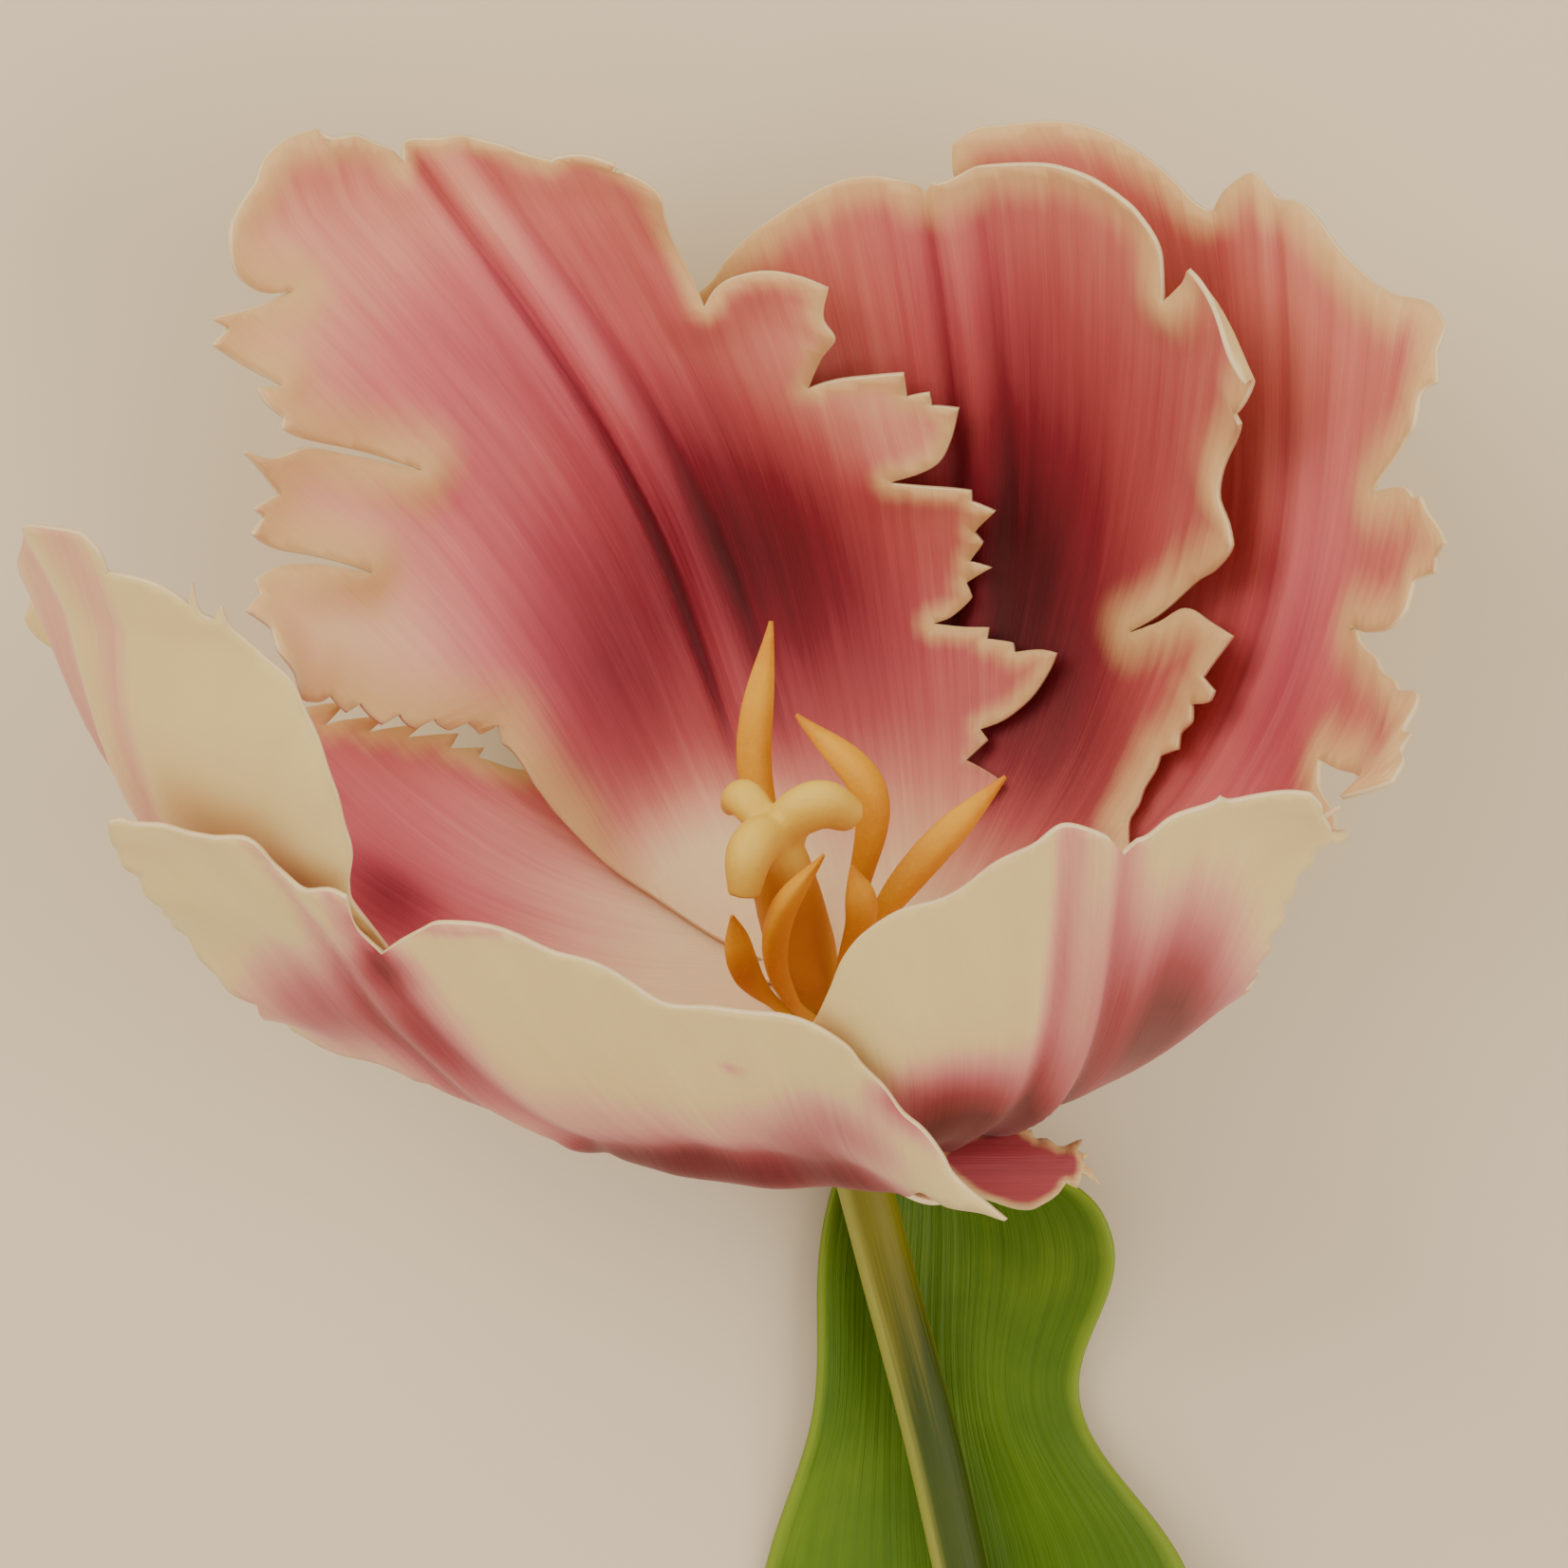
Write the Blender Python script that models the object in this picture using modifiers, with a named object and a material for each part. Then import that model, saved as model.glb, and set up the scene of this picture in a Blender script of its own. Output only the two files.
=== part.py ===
"""Cut fringed tulip, lying on a table with its bloom half turned up.

The world origin is the flat spot under the back of the bloom on which the flower
rests. +Z points up from the table and -Y runs down the stem. Lengths below are in
millimetres and become metres when a solid is made.
"""
import math

import bmesh
import bpy
import numpy as np
from mathutils import Vector

MM = 0.001
GAP = 0.3               # left between pieces that touch on the flower

# Bloom
RECEPTACLE = (8.5, -30.2, 14.2)    # centre of the receptacle over the table
TILT = 44.0             # the bloom's axis over the table
LEAN = 14.6             # and its turn to the left of the stem's line
BLADE = 0.7             # thickness of a tepal
LAYER = BLADE + GAP     # step from one overlapping tepal to the next
SEAT = 3.6              # radius at which the claws start
BEND_POWER = 1.6
BLADE_ROWS = 36
BLADE_COLUMNS = 10
TOOTH_ROWS = 3          # rows from one fringe tooth to the next

# Receptacle and stem
NECK = 2.35
KNOB = SEAT - GAP
STEM_END = 2.7

# Leaf
LEAF = 0.9              # thickness of the leaf

# Each tepal: its layer from the inside out, the direction of its midrib round the
# axis in degrees by share of the length, its length, how steeply its two margins and
# midrib rise, how far they bend out again near the tip, and how far the margins stand
# inward of the cup. "before" and "after" are the half widths to the two sides, crown
# is what the tip's corners and its middle notch fall short of the full length, roll is
# how far the lower lobe of the "after" margin stands outward, and slits are the deep
# cuts between the lobes of the fringe: place, depth and breadth.
TEPALS = {
    "tepal_back_left": dict(
        layer=0, azimuth=[(0, 100), (0.5, 101), (1, 115)], length=88, bend=(33, 33, 33),
        rise=(80, 78, 79), curl=(0, 0, 0), lift=(2.5, 0, 3), roll=0,
        before=[(0, 3), (0.2, 18), (0.4, 36), (0.6, 42), (0.7, 40), (0.8, 35), (0.9, 28), (1, 21)],
        after=[(0, 3), (0.2, 9), (0.35, 11), (0.43, 13), (0.52, 28), (0.7, 31), (0.85, 32), (1, 30)],
        crown=(6.5, 0, 2),
        slits_before=[(0.472, 9, 0.03), (0.611, 13, 0.035), (0.722, 13, 0.035), (0.861, 13, 0.035)],
        slits_after=[(0.667, 9, 0.02), (0.861, 8, 0.02)]),
    "tepal_back_right": dict(
        layer=1, azimuth=[(0, 56), (0.5, 55), (1, 58)], length=79, bend=(33, 33, 33),
        rise=(80, 77, 76), curl=(0, 0, 0), lift=(2.5, -0.2, -0.6), roll=0,
        before=[(0, 3), (0.2, 17), (0.4, 31), (0.6, 39), (0.8, 43), (1, 33)],
        after=[(0, 3), (0.2, 15), (0.4, 25), (0.6, 29), (0.8, 28), (1, 17)],
        crown=(8, 6, 2),
        slits_before=[(0.5, 5, 0.03), (0.66, 6, 0.03), (0.85, 5, 0.03)], slits_after=[]),
    "tepal_right": dict(
        layer=2, azimuth=[(0, 5), (0.5, 14), (1, 30)], length=82, bend=(33, 33, 33),
        rise=(72, 71, 75), curl=(46, 8, 0), lift=(2.4, 0, 0), roll=0,
        before=[(0, 3), (0.2, 15), (0.4, 29), (0.6, 38), (0.7, 38), (0.8, 35), (0.9, 31), (1, 27)],
        after=[(0, 3), (0.2, 15), (0.4, 25), (0.6, 28), (0.8, 28), (1, 21)],
        crown=(2, 1, 3),
        slits_before=[(0.52, 6, 0.02), (0.7, 7, 0.03)], slits_after=[]),
    "tepal_left": dict(
        layer=1, azimuth=[(0, 172), (0.5, 173), (1, 171)], length=92, bend=(33, 33, 33),
        rise=(74, 77, 94), curl=(0, 0, 0), lift=(0, 0, 0), roll=0,
        before=[(0, 3), (0.2, 20), (0.4, 36), (0.5, 32), (0.6, 15), (0.8, 5), (1, 2)],
        after=[(0, 3), (0.2, 17), (0.4, 28), (0.6, 32), (0.8, 33), (1, 24)],
        crown=(3, 1, 2),
        slits_before=[], slits_after=[(0.84, 4, 0.02)]),
    "tepal_front_left": dict(
        layer=4, azimuth=[(0, 240), (0.5, 236), (1, 233)], length=82, bend=(32, 29, 30),
        rise=(78, 84, 80), curl=(0, 0, 0), lift=(0, 0, 0), roll=12,
        before=[(0, 3), (0.2, 13), (0.4, 21), (0.6, 29), (0.8, 35), (1, 33)],
        after=[(0, 3), (0.2, 20), (0.4, 36), (0.6, 46), (0.7, 44), (0.76, 39), (0.83, 30), (0.9, 25), (1, 20)],
        crown=(4, 9, 5),
        slits_before=[(0.72, 3, 0.02)], slits_after=[(0.5, 3, 0.02), (0.64, 4, 0.02), (0.78, 4, 0.02)]),
    "tepal_front_right": dict(
        layer=3, azimuth=[(0, 300), (0.5, 302), (1, 305)], length=77, bend=(28, 33, 39),
        rise=(84, 81, 68), curl=(0, 0, 0), lift=(1.8, 0, -0.9), roll=0,
        before=[(0, 3), (0.2, 15), (0.4, 26), (0.6, 28), (0.8, 25), (1, 18)],
        after=[(0, 3), (0.2, 16), (0.4, 28), (0.6, 31), (0.8, 28), (1, 17)],
        crown=(9, 6, 3),
        slits_before=[], slits_after=[(0.6, 3, 0.02)]),
}
ROLL_AT = 0.56          # where along the length a rolled margin stands out most
ROLL_BREADTH = 0.2
TEETH = 2.0             # depth of the fringe teeth between the slits
TOOTHED_FROM = 0.34     # the claw's edges below this share of the length are whole
WAVE = 0.5              # the margins' ripple
WAVE_LENGTH = 14.0

# The cup isn't quite round: how wide it is by direction, low down and near the rim
CUP_LOW = [(0, 1.13), (30, 1.1), (62, 1.03), (90, 1.0), (120, 1.0), (160, 1.05), (190, 1.1), (215, 0.98), (240, 0.84),
           (265, 0.82), (285, 0.9), (305, 1.04), (330, 1.13), (360, 1.13)]
CUP_HIGH = [(0, 1.14), (30, 1.12), (62, 1.04), (90, 1.0), (120, 1.0), (160, 1.0), (190, 0.98), (215, 0.94), (240, 0.86),
            (265, 0.87), (285, 0.94), (305, 1.02), (330, 1.1), (360, 1.14)]


def remove_everything():
    for thing in list(bpy.data.objects):
        bpy.data.objects.remove(thing, do_unlink=True)


def bloom_axes():
    """The bloom's sideways, backward and upward directions."""
    tilt, lean = math.radians(TILT), math.radians(LEAN)
    up = np.array([-math.sin(lean) * math.cos(tilt), math.cos(lean) * math.cos(tilt), math.sin(tilt)])
    side = np.array([math.cos(lean), math.sin(lean), 0.0])
    return side, np.cross(up, side), up


def in_bloom(azimuth, radius, height):
    """World points from places round the bloom's axis."""
    side, back, up = bloom_axes()
    turn = np.radians(azimuth)[..., None]
    return (np.array(RECEPTACLE) + radius[..., None] * (np.cos(turn) * side + np.sin(turn) * back)
            + height[..., None] * up)


def through(points, x):
    """Values at x of a smooth line through a few points."""
    px, py = np.array(points, float).T
    slope = np.gradient(py, px)
    i = np.clip(np.searchsorted(px, x) - 1, 0, len(px) - 2)
    step = px[i + 1] - px[i]
    t = np.clip((x - px[i]) / step, 0, 1)
    return (py[i] * (1 + 2 * t) * (1 - t) ** 2 + slope[i] * step * t * (1 - t) ** 2
            + py[i + 1] * t * t * (3 - 2 * t) - slope[i + 1] * step * t * t * (1 - t))


def across(values, u):
    """Blend from the midrib's value to those of the two margins."""
    before, middle, after = values
    return middle + (np.where(u < 0, before, after) - middle) * u * u


def soft(x):
    """0 below 0, 1 above 1 and smooth in between."""
    x = np.clip(x, 0, 1)
    return x * x * (3 - 2 * x)


def fringe(v, slits, rows):
    """How far the fringe cuts into a margin at each row."""
    tooth = (np.arange(rows + 1)[:, None] % TOOTH_ROWS) / (TOOTH_ROWS - 1)
    cut = TEETH * tooth * np.clip((v - TOOTHED_FROM) / 0.1, 0, 1)
    for place, depth, breadth in slits:
        cut = cut + depth * np.exp(-np.abs(v - place) / breadth)
    return cut


def tepal_surface(t, rows, columns):
    """Points of a tepal's outer face, from claw to tip and margin to margin."""
    v = np.linspace(0, 1, rows + 1)[:, None]
    u = np.linspace(-1, 1, columns + 1)[None, :]
    before, after = through(t["before"], v), through(t["after"], v)
    kept_before = 1 - fringe(v, t["slits_before"], rows) / before
    kept_after = 1 - fringe(v, t["slits_after"], rows) / after
    u = u * np.maximum(np.where(u < 0, kept_before, kept_after), 0.4)
    corner_before, corner_after, notch = t["crown"]
    crown = np.where(u < 0, corner_before, corner_after) * np.abs(u) ** 2.2 + notch * np.exp(-(u / 0.1) ** 2)
    s = t["length"] * v - crown * v ** 4

    def slope(at):
        bend = across(t["bend"], u[..., None])
        upright = across(t["rise"], u[..., None]) * (1 - np.exp(-(at / bend) ** BEND_POWER))
        out = across(t["curl"], u[..., None]) * np.clip((at / t["length"] - 0.55) / 0.45, 0, 1) ** 2
        return np.radians(upright - out)

    steps = (np.arange(60) + 0.5) / 60
    along = slope(s[..., None] * steps)
    end = slope(s[..., None])[..., 0]
    ripple = WAVE * np.sin(2 * math.pi * s / WAVE_LENGTH) * u ** 4 * np.clip((v - 0.3) / 0.2, 0, 1)
    roll = t["roll"] * np.clip((u - 0.3) / 0.7, 0, 1) ** 2 * np.exp(-((v - ROLL_AT) / ROLL_BREADTH) ** 2)
    inward = (2 - t["layer"]) * LAYER + across(t["lift"], u) * v ** 1.5 + ripple - roll
    radius = SEAT + np.cos(along).mean(-1) * s - np.sin(end) * inward
    height = np.sin(along).mean(-1) * s + np.cos(end) * inward
    reach = u * np.where(u < 0, before, after)
    azimuth = through(t["azimuth"], v) + np.degrees(reach / np.maximum(radius, 6.0))
    low, high = through(CUP_LOW, azimuth % 360), through(CUP_HIGH, azimuth % 360)
    wider = low + (high - low) * soft((height - 40) / 35)
    radius = radius * (1 + (wider - 1) * soft((height - 1) / 14))
    points = in_bloom(azimuth, radius, height)
    points[..., 2] = np.maximum(points[..., 2], 0.0)
    return points


def material(name, colour, roughness):
    made = bpy.data.materials.new(name)
    made.use_nodes = True
    shader = made.node_tree.nodes["Principled BSDF"]
    shader.inputs["Base Color"].default_value = (*colour, 1.0)
    shader.inputs["Roughness"].default_value = roughness
    shader.inputs["Metallic"].default_value = 0.0
    return made


def new_object(name, vertices, faces, made_of):
    mesh = bpy.data.meshes.new(name)
    mesh.from_pydata([Vector(p) * MM for p in vertices], [], faces)
    mesh.materials.append(made_of)
    thing = bpy.data.objects.new(name, mesh)
    FLOWER.objects.link(thing)
    return thing


def blade(name, points, thickness, made_of):
    """A thin waved sheet over a grid of points, thickened away from the grid's normals."""
    rows, columns = points.shape[0], points.shape[1]
    triangles = []
    for i in range(rows - 1):
        for j in range(columns - 1):
            a, b = i * columns + j, i * columns + j + 1
            c, d = b + columns, a + columns
            triangles += [(a, b, c), (a, c, d)]
    thing = new_object(name, points.reshape(-1, 3), triangles, made_of)
    thick = thing.modifiers.new("thickness", "SOLIDIFY")
    thick.thickness = thickness * MM
    thick.offset = -1.0
    return thing


def loft(name, rings, made_of):
    """A closed body through rings of points, with a flat cap on each end."""
    count, sides = len(rings), len(rings[0])
    faces = [(i * sides + j, i * sides + (j + 1) % sides, (i + 1) * sides + (j + 1) % sides, (i + 1) * sides + j)
             for i in range(count - 1) for j in range(sides)]
    faces += [tuple(reversed(range(sides))), tuple((count - 1) * sides + j for j in range(sides))]
    thing = new_object(name, np.concatenate(rings), faces, made_of)
    work = bmesh.new()
    work.from_mesh(thing.data)
    bmesh.ops.recalc_face_normals(work, faces=work.faces)
    bmesh.ops.triangulate(work, faces=work.faces)
    work.to_mesh(thing.data)
    work.free()
    return thing


def tube_rings(path, radii, steps, sides, flat=1.0):
    """Rings square to a smooth path through a few points."""
    marks = np.linspace(0, 1, len(path))
    t = np.linspace(0, 1, steps + 1)
    line = np.stack([through(list(zip(marks, np.array(path, float)[:, k])), t) for k in range(3)], -1)
    width = through(list(zip(np.linspace(0, 1, len(radii)), radii)), t)
    along = np.gradient(line, axis=0)
    along /= np.linalg.norm(along, axis=1)[:, None]
    over = np.array([0.3, 0.1, 1.0])
    rings = []
    for point, way, r in zip(line, along, width):
        over = over - way * (over @ way)
        over /= np.linalg.norm(over)
        beside = np.cross(way, over)
        turn = 2 * math.pi * np.arange(sides) / sides
        rings.append(point + r * (np.outer(np.cos(turn), beside) + flat * np.outer(np.sin(turn), over)))
    return rings


def apply_all(thing, name):
    """Bake the modifiers of a body into its own mesh."""
    baked = bpy.data.meshes.new_from_object(thing.evaluated_get(bpy.context.evaluated_depsgraph_get()))
    thing.modifiers.clear()
    thing.data = baked
    baked.name = name


remove_everything()
FLOWER = bpy.data.collections.new("fringed_tulip")
bpy.context.scene.collection.children.link(FLOWER)

petal = material("tepal", (0.52, 0.13, 0.15), 0.55)
green = material("stem", (0.19, 0.20, 0.05), 0.5)
leaf_green = material("leaf", (0.09, 0.20, 0.02), 0.5)
gold = material("stamen", (0.62, 0.30, 0.04), 0.6)
cream = material("pistil", (0.72, 0.56, 0.20), 0.5)

# Six tepals, each one blade with a cut and waved margin
for tepal, shape in TEPALS.items():
    face = tepal_surface(shape, BLADE_ROWS, BLADE_COLUMNS)
    thing = blade(tepal, face, BLADE, petal)
    apply_all(thing, tepal)

# Stem with the receptacle at its top: it runs straight out under the bloom, then bends
# down to lie along the table to its cut end
side_way, back_way, up_way = bloom_axes()
centre = np.array(RECEPTACLE)


def on_axis(height, radius=0.0, azimuth=0.0):
    turn = math.radians(azimuth)
    return centre + up_way * height + radius * (math.cos(turn) * side_way + math.sin(turn) * back_way)


stem_path = [on_axis(2.0), on_axis(-2.0), on_axis(-5.5), (11.0, -40.0, 7.6), (14.0, -51.5, 5.2), (19.0, -71.0, 4.7),
             (24.0, -97.0, 4.7), (28.0, -135.0, 4.7), (30.0, -177.0, 5.12), (31.0, -240.0, STEM_END + 0.03)]
stem_width = [KNOB - 0.2, KNOB, NECK, NECK, NECK, NECK, 2.4, 2.5, 2.6, STEM_END]
loft("stem", tube_rings(stem_path, stem_width, 40, 12), green)

# Pistil: the ovary with its three-lobed stigma
OVARY = [(1.8, 2.3), (1.8, 4.0), (2.7, 7.0), (2.9, 12.0), (2.7, 17.0), (2.2, 21.0), (1.6, 22.5)]
turn = 30.0 * np.arange(12)
rings = [in_bloom(turn, np.full(12, r), np.full(12, h)) for r, h in OVARY]
pistil = loft("pistil", rings, cream)
for azimuth in (0, 118, 238):
    path = [on_axis(20.0, 0.6, azimuth), on_axis(23.6, 1.6, azimuth), on_axis(24.6, 4.2, azimuth),
            on_axis(22.4, 6.2, azimuth)]
    lobe = loft("lobe", tube_rings(path, [1.3, 1.9, 2.1, 1.0], 7, 10), cream)
    join = pistil.modifiers.new("stigma", "BOOLEAN")
    join.operation, join.solver, join.object = "UNION", "EXACT", lobe
    apply_all(pistil, "pistil")
    bpy.data.objects.remove(lobe, do_unlink=True)

# Six stamens: a thin filament that widens into its long anther. Each is given by the
# azimuth, radius and height of points from its foot to the anther's end.
STAMENS = {
    "stamen_1": [(95, 2.7, 2.6), (94, 7, 10), (90, 14, 18), (78, 20.8, 27)],
    "stamen_2": [(30, 2.7, 2.6), (35, 7, 10), (40, 11.3, 17.5), (73, 15, 21.5)],
    "stamen_3": [(355, 2.7, 2.6), (5, 6.5, 9), (12, 12, 13), (18, 21, 16)],
    "stamen_4": [(258, 2.7, 2.6), (252, 6.2, 9), (250, 7, 15), (264, 6.6, 20.5), (300, 7.2, 25)],
    "stamen_5": [(205, 2.7, 2.6), (210, 5, 8), (215, 6.3, 13), (214, 6, 18)],
    "stamen_6": [(310, 2.7, 2.6), (305, 4.8, 8.5), (322, 6.8, 15), (330, 6.5, 20)],
}
for stamen, marks in STAMENS.items():
    path = [on_axis(height, radius, azimuth) for azimuth, radius, height in marks]
    loft(stamen, tube_rings(path, [0.55, 0.6, 1.1, 1.5, 1.5, 0.7], 12, 8, flat=0.75), gold)

# Leaf: it clasps the stem well below the bloom, lies under it and ends behind the bloom.
# Across each row: left margin, two points by the midrib, right margin.
LEAF_MARKS = [
    [(26.0, -178.0, 5.6), (28.0, -178.6, 1.75), (32.0, -178.6, 1.75), (34.0, -178.0, 5.9)],
    [(16.0, -145.0, 5.0), (23.0, -145.0, 0.0), (33.0, -145.0, 0.0), (42.0, -145.0, 7.0)],
    [(6.0, -111.0, 1.8), (17.0, -111.0, 0.0), (30.0, -111.0, 0.0), (44.0, -111.0, 5.0)],
    [(4.0, -83.0, 0.0), (14.0, -83.0, 0.0), (26.0, -83.0, 0.0), (39.5, -83.0, 9.0)],
    [(7.5, -63.0, 2.6), (14.0, -62.0, 0.2), (22.0, -62.0, 0.2), (32.0, -63.0, 2.0)],
    [(10.0, -47.0, 2.4), (15.0, -47.0, 0.3), (21.5, -47.0, 0.4), (31.0, -47.0, 6.0)],
    [(14.0, -29.0, 1.0), (16.5, -28.0, 0.4), (19.5, -28.0, 0.5), (22.5, -29.0, 1.6)],
]
LEAF_ROWS, LEAF_COLUMNS = 26, 6
marks = np.array(LEAF_MARKS)
v = np.linspace(0, 1, LEAF_ROWS + 1)
u = np.linspace(0, 1, LEAF_COLUMNS + 1)
rows = np.stack([[through(list(zip(np.linspace(0, 1, len(marks)), marks[:, j, k])), v) for k in range(3)]
                 for j in range(4)])
grid = np.stack([[through(list(zip(np.linspace(0, 1, 4), rows[:, k, i])), u) for k in range(3)]
                 for i in range(LEAF_ROWS + 1)])
grid = np.transpose(grid, (0, 2, 1))
grid[..., 2] = np.maximum(grid[..., 2], 0.0) + LEAF
thing = blade("leaf", grid, LEAF, leaf_green)
apply_all(thing, "leaf")
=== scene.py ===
"""A cut fringed tulip lying on a pale table, seen from straight above.

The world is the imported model's: the origin is the spot under the bloom on which the
flower rests, +Z points up to the camera and -Y runs down the stem. Lengths in the shape
tables are millimetres.
"""
import math

import bmesh
import bpy
import numpy as np
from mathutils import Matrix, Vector
from mathutils.geometry import delaunay_2d_cdt


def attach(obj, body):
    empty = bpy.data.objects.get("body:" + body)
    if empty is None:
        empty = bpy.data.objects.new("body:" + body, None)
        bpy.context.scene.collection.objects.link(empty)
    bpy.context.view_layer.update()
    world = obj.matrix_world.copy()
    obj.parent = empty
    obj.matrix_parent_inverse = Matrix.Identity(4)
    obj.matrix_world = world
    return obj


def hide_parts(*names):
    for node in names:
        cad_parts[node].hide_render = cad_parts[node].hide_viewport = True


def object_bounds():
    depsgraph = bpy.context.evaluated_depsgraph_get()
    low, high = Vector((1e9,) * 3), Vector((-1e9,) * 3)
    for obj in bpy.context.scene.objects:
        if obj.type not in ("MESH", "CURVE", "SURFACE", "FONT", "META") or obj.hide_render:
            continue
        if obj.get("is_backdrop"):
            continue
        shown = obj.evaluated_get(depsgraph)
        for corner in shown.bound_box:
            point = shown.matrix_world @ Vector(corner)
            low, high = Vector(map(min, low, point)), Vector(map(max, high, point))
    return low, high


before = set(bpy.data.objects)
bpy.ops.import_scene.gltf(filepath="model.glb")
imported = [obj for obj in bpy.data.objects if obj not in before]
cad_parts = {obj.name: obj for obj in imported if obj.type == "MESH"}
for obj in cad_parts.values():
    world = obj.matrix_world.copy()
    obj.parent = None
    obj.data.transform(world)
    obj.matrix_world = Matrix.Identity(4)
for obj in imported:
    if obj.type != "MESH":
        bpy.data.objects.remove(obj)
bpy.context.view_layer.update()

MM = 0.001

# Table and camera. The flower lies on a smooth warm grey board. The camera looks straight
# down on it from 0.7 m above the receptacle, with the bloom in the middle of the picture.
RECEPTACLE = (8.5, -30.2, 14.2)
CAMERA_AT = (5.3, -10.28)
CAMERA_OVER = 700.0         # over the receptacle
PICTURE_MM = 132.16         # breadth of the picture at the receptacle's height
PICTURE = 1652              # and its breadth in px
SENSOR = 36.0

camera = bpy.data.objects.new("camera", bpy.data.cameras.new("camera"))
bpy.context.scene.collection.objects.link(camera)
camera.location = Vector((*CAMERA_AT, CAMERA_OVER + RECEPTACLE[2])) * MM
camera.data.sensor_width = SENSOR
camera.data.lens = SENSOR * CAMERA_OVER / PICTURE_MM
camera.data.clip_start, camera.data.clip_end = 0.05, 20.0
bpy.context.scene.camera = camera


class Wire:
    """An output of a node in a material. Sums on wires add Math nodes."""

    def __init__(self, finish, socket):
        self.finish, self.socket = finish, socket

    def __add__(self, other):
        return self.finish.sum("ADD", self, other)

    def __sub__(self, other):
        return self.finish.sum("SUBTRACT", self, other)

    def __rsub__(self, other):
        return self.finish.sum("SUBTRACT", other, self)

    def __mul__(self, other):
        return self.finish.sum("MULTIPLY", self, other)

    __radd__, __rmul__ = __add__, __mul__


class Finish:
    """A material in the making."""

    def __init__(self, name):
        self.material = bpy.data.materials.new(name)
        self.material.use_nodes = True
        self.tree = self.material.node_tree
        self.tree.nodes.clear()

    def node(self, kind, settings, inputs, output=0):
        """Adds a node: its settings first, then the values or wires of its sockets."""
        made = self.tree.nodes.new(kind)
        for key, value in settings.items():
            if key == "stops":
                stops = made.color_ramp.elements
                while len(stops) < len(value):
                    stops.new(0.5)
                for stop, (place, colour) in zip(stops, value):
                    stop.position, stop.color = place, (*colour, 1.0)
            else:
                setattr(made, key, value)
        for key, value in inputs.items():
            if isinstance(value, Wire):
                self.tree.links.new(value.socket, made.inputs[key])
            else:
                made.inputs[key].default_value = value
        return Wire(self, made.outputs[output]) if made.outputs else None

    def sum(self, operation, *values):
        return self.node("ShaderNodeMath", {"operation": operation}, dict(enumerate(values)))

    def mark(self, name):
        """A number kept on the mesh's points."""
        return self.node("ShaderNodeAttribute", {"attribute_name": name}, {}, "Fac")

    def between(self, value, low, high):
        """0 below low, 1 above high and smooth in between."""
        return self.node("ShaderNodeMapRange", {"interpolation_type": "SMOOTHSTEP"},
                         {"Value": value, "From Min": low, "From Max": high})

    def groove(self, value, at, breadth):
        """1 where value is at, 0 a breadth away."""
        away = self.node("ShaderNodeMath", {"operation": "ABSOLUTE"}, {0: value - at})
        return 1.0 - self.between(away, 0.0, breadth)

    def blend(self, amount, one, other):
        return self.node("ShaderNodeMix", {"data_type": "RGBA"}, {0: amount, 6: one, 7: other}, 2)

    def grain(self, place, scale, detail=3.0, rough=0.55):
        """Soft noise, 0 to 1."""
        return self.node("ShaderNodeTexNoise", {},
                         {"Vector": place, "Scale": scale, "Detail": detail, "Roughness": rough}, "Fac")

    def place(self, x, y, z=0.0):
        return self.node("ShaderNodeCombineXYZ", {}, {0: x, 1: y, 2: z})

    def ramp(self, value, *stops):
        return self.node("ShaderNodeValToRGB", {"stops": stops}, {"Fac": value})

    def bump(self, height, depth, strength):
        return self.node("ShaderNodeBump", {}, {"Height": height, "Distance": depth, "Strength": strength})

    def done(self, **sockets):
        """Ends in one Principled shader with these sockets, their spaces written as underscores."""
        shader = self.node("ShaderNodeBsdfPrincipled", {},
                           {key.replace("_", " "): value for key, value in sockets.items()})
        self.node("ShaderNodeOutputMaterial", {}, {"Surface": shader})
        return self.material


def rgb(red, green, blue):
    """A colour as mixed on a screen, made linear for the shader."""
    return tuple((c / 255 / 12.92) if c < 10.3 else ((c / 255 + 0.055) / 1.055) ** 2.4 for c in (red, green, blue))


def rgba(*colour):
    return (*rgb(*colour), 1.0)


TABLE_HALF, TABLE_TOP = 3.0, -0.0001        # metres

board = bpy.data.meshes.new("table")
board.from_pydata([(x * TABLE_HALF, y * TABLE_HALF, TABLE_TOP) for x, y in ((-1, -1), (1, -1), (1, 1), (-1, 1))],
                  [], [(0, 1, 2, 3)])
table = bpy.data.objects.new("table", board)
bpy.context.scene.collection.objects.link(table)
paint = Finish("table_paint")
cloudy = paint.grain(paint.node("ShaderNodeTexCoord", {}, {}, "Object"), 9.0, 2.0)
board.materials.append(paint.done(
    Base_Color=paint.blend(cloudy, rgba(211, 196, 172), rgba(217, 205, 182)), Roughness=0.9,
    Specular_IOR_Level=0.15))
table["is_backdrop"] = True

# Light. A broad soft window up to the left, a weaker fill from the right and pale
# surroundings, so that the shadows stay open.
LAMPS = {   # place and breadth in metres, watts, tint
    "window": ((-0.75, 0.55, 0.95), 0.8, 10.0, (255, 241, 222)),
    "fill": ((0.9, -0.2, 0.9), 0.9, 7.0, (255, 242, 226)),
}
LIT = Vector((0.0, -0.01, 0.03))            # what both lamps point at

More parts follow.
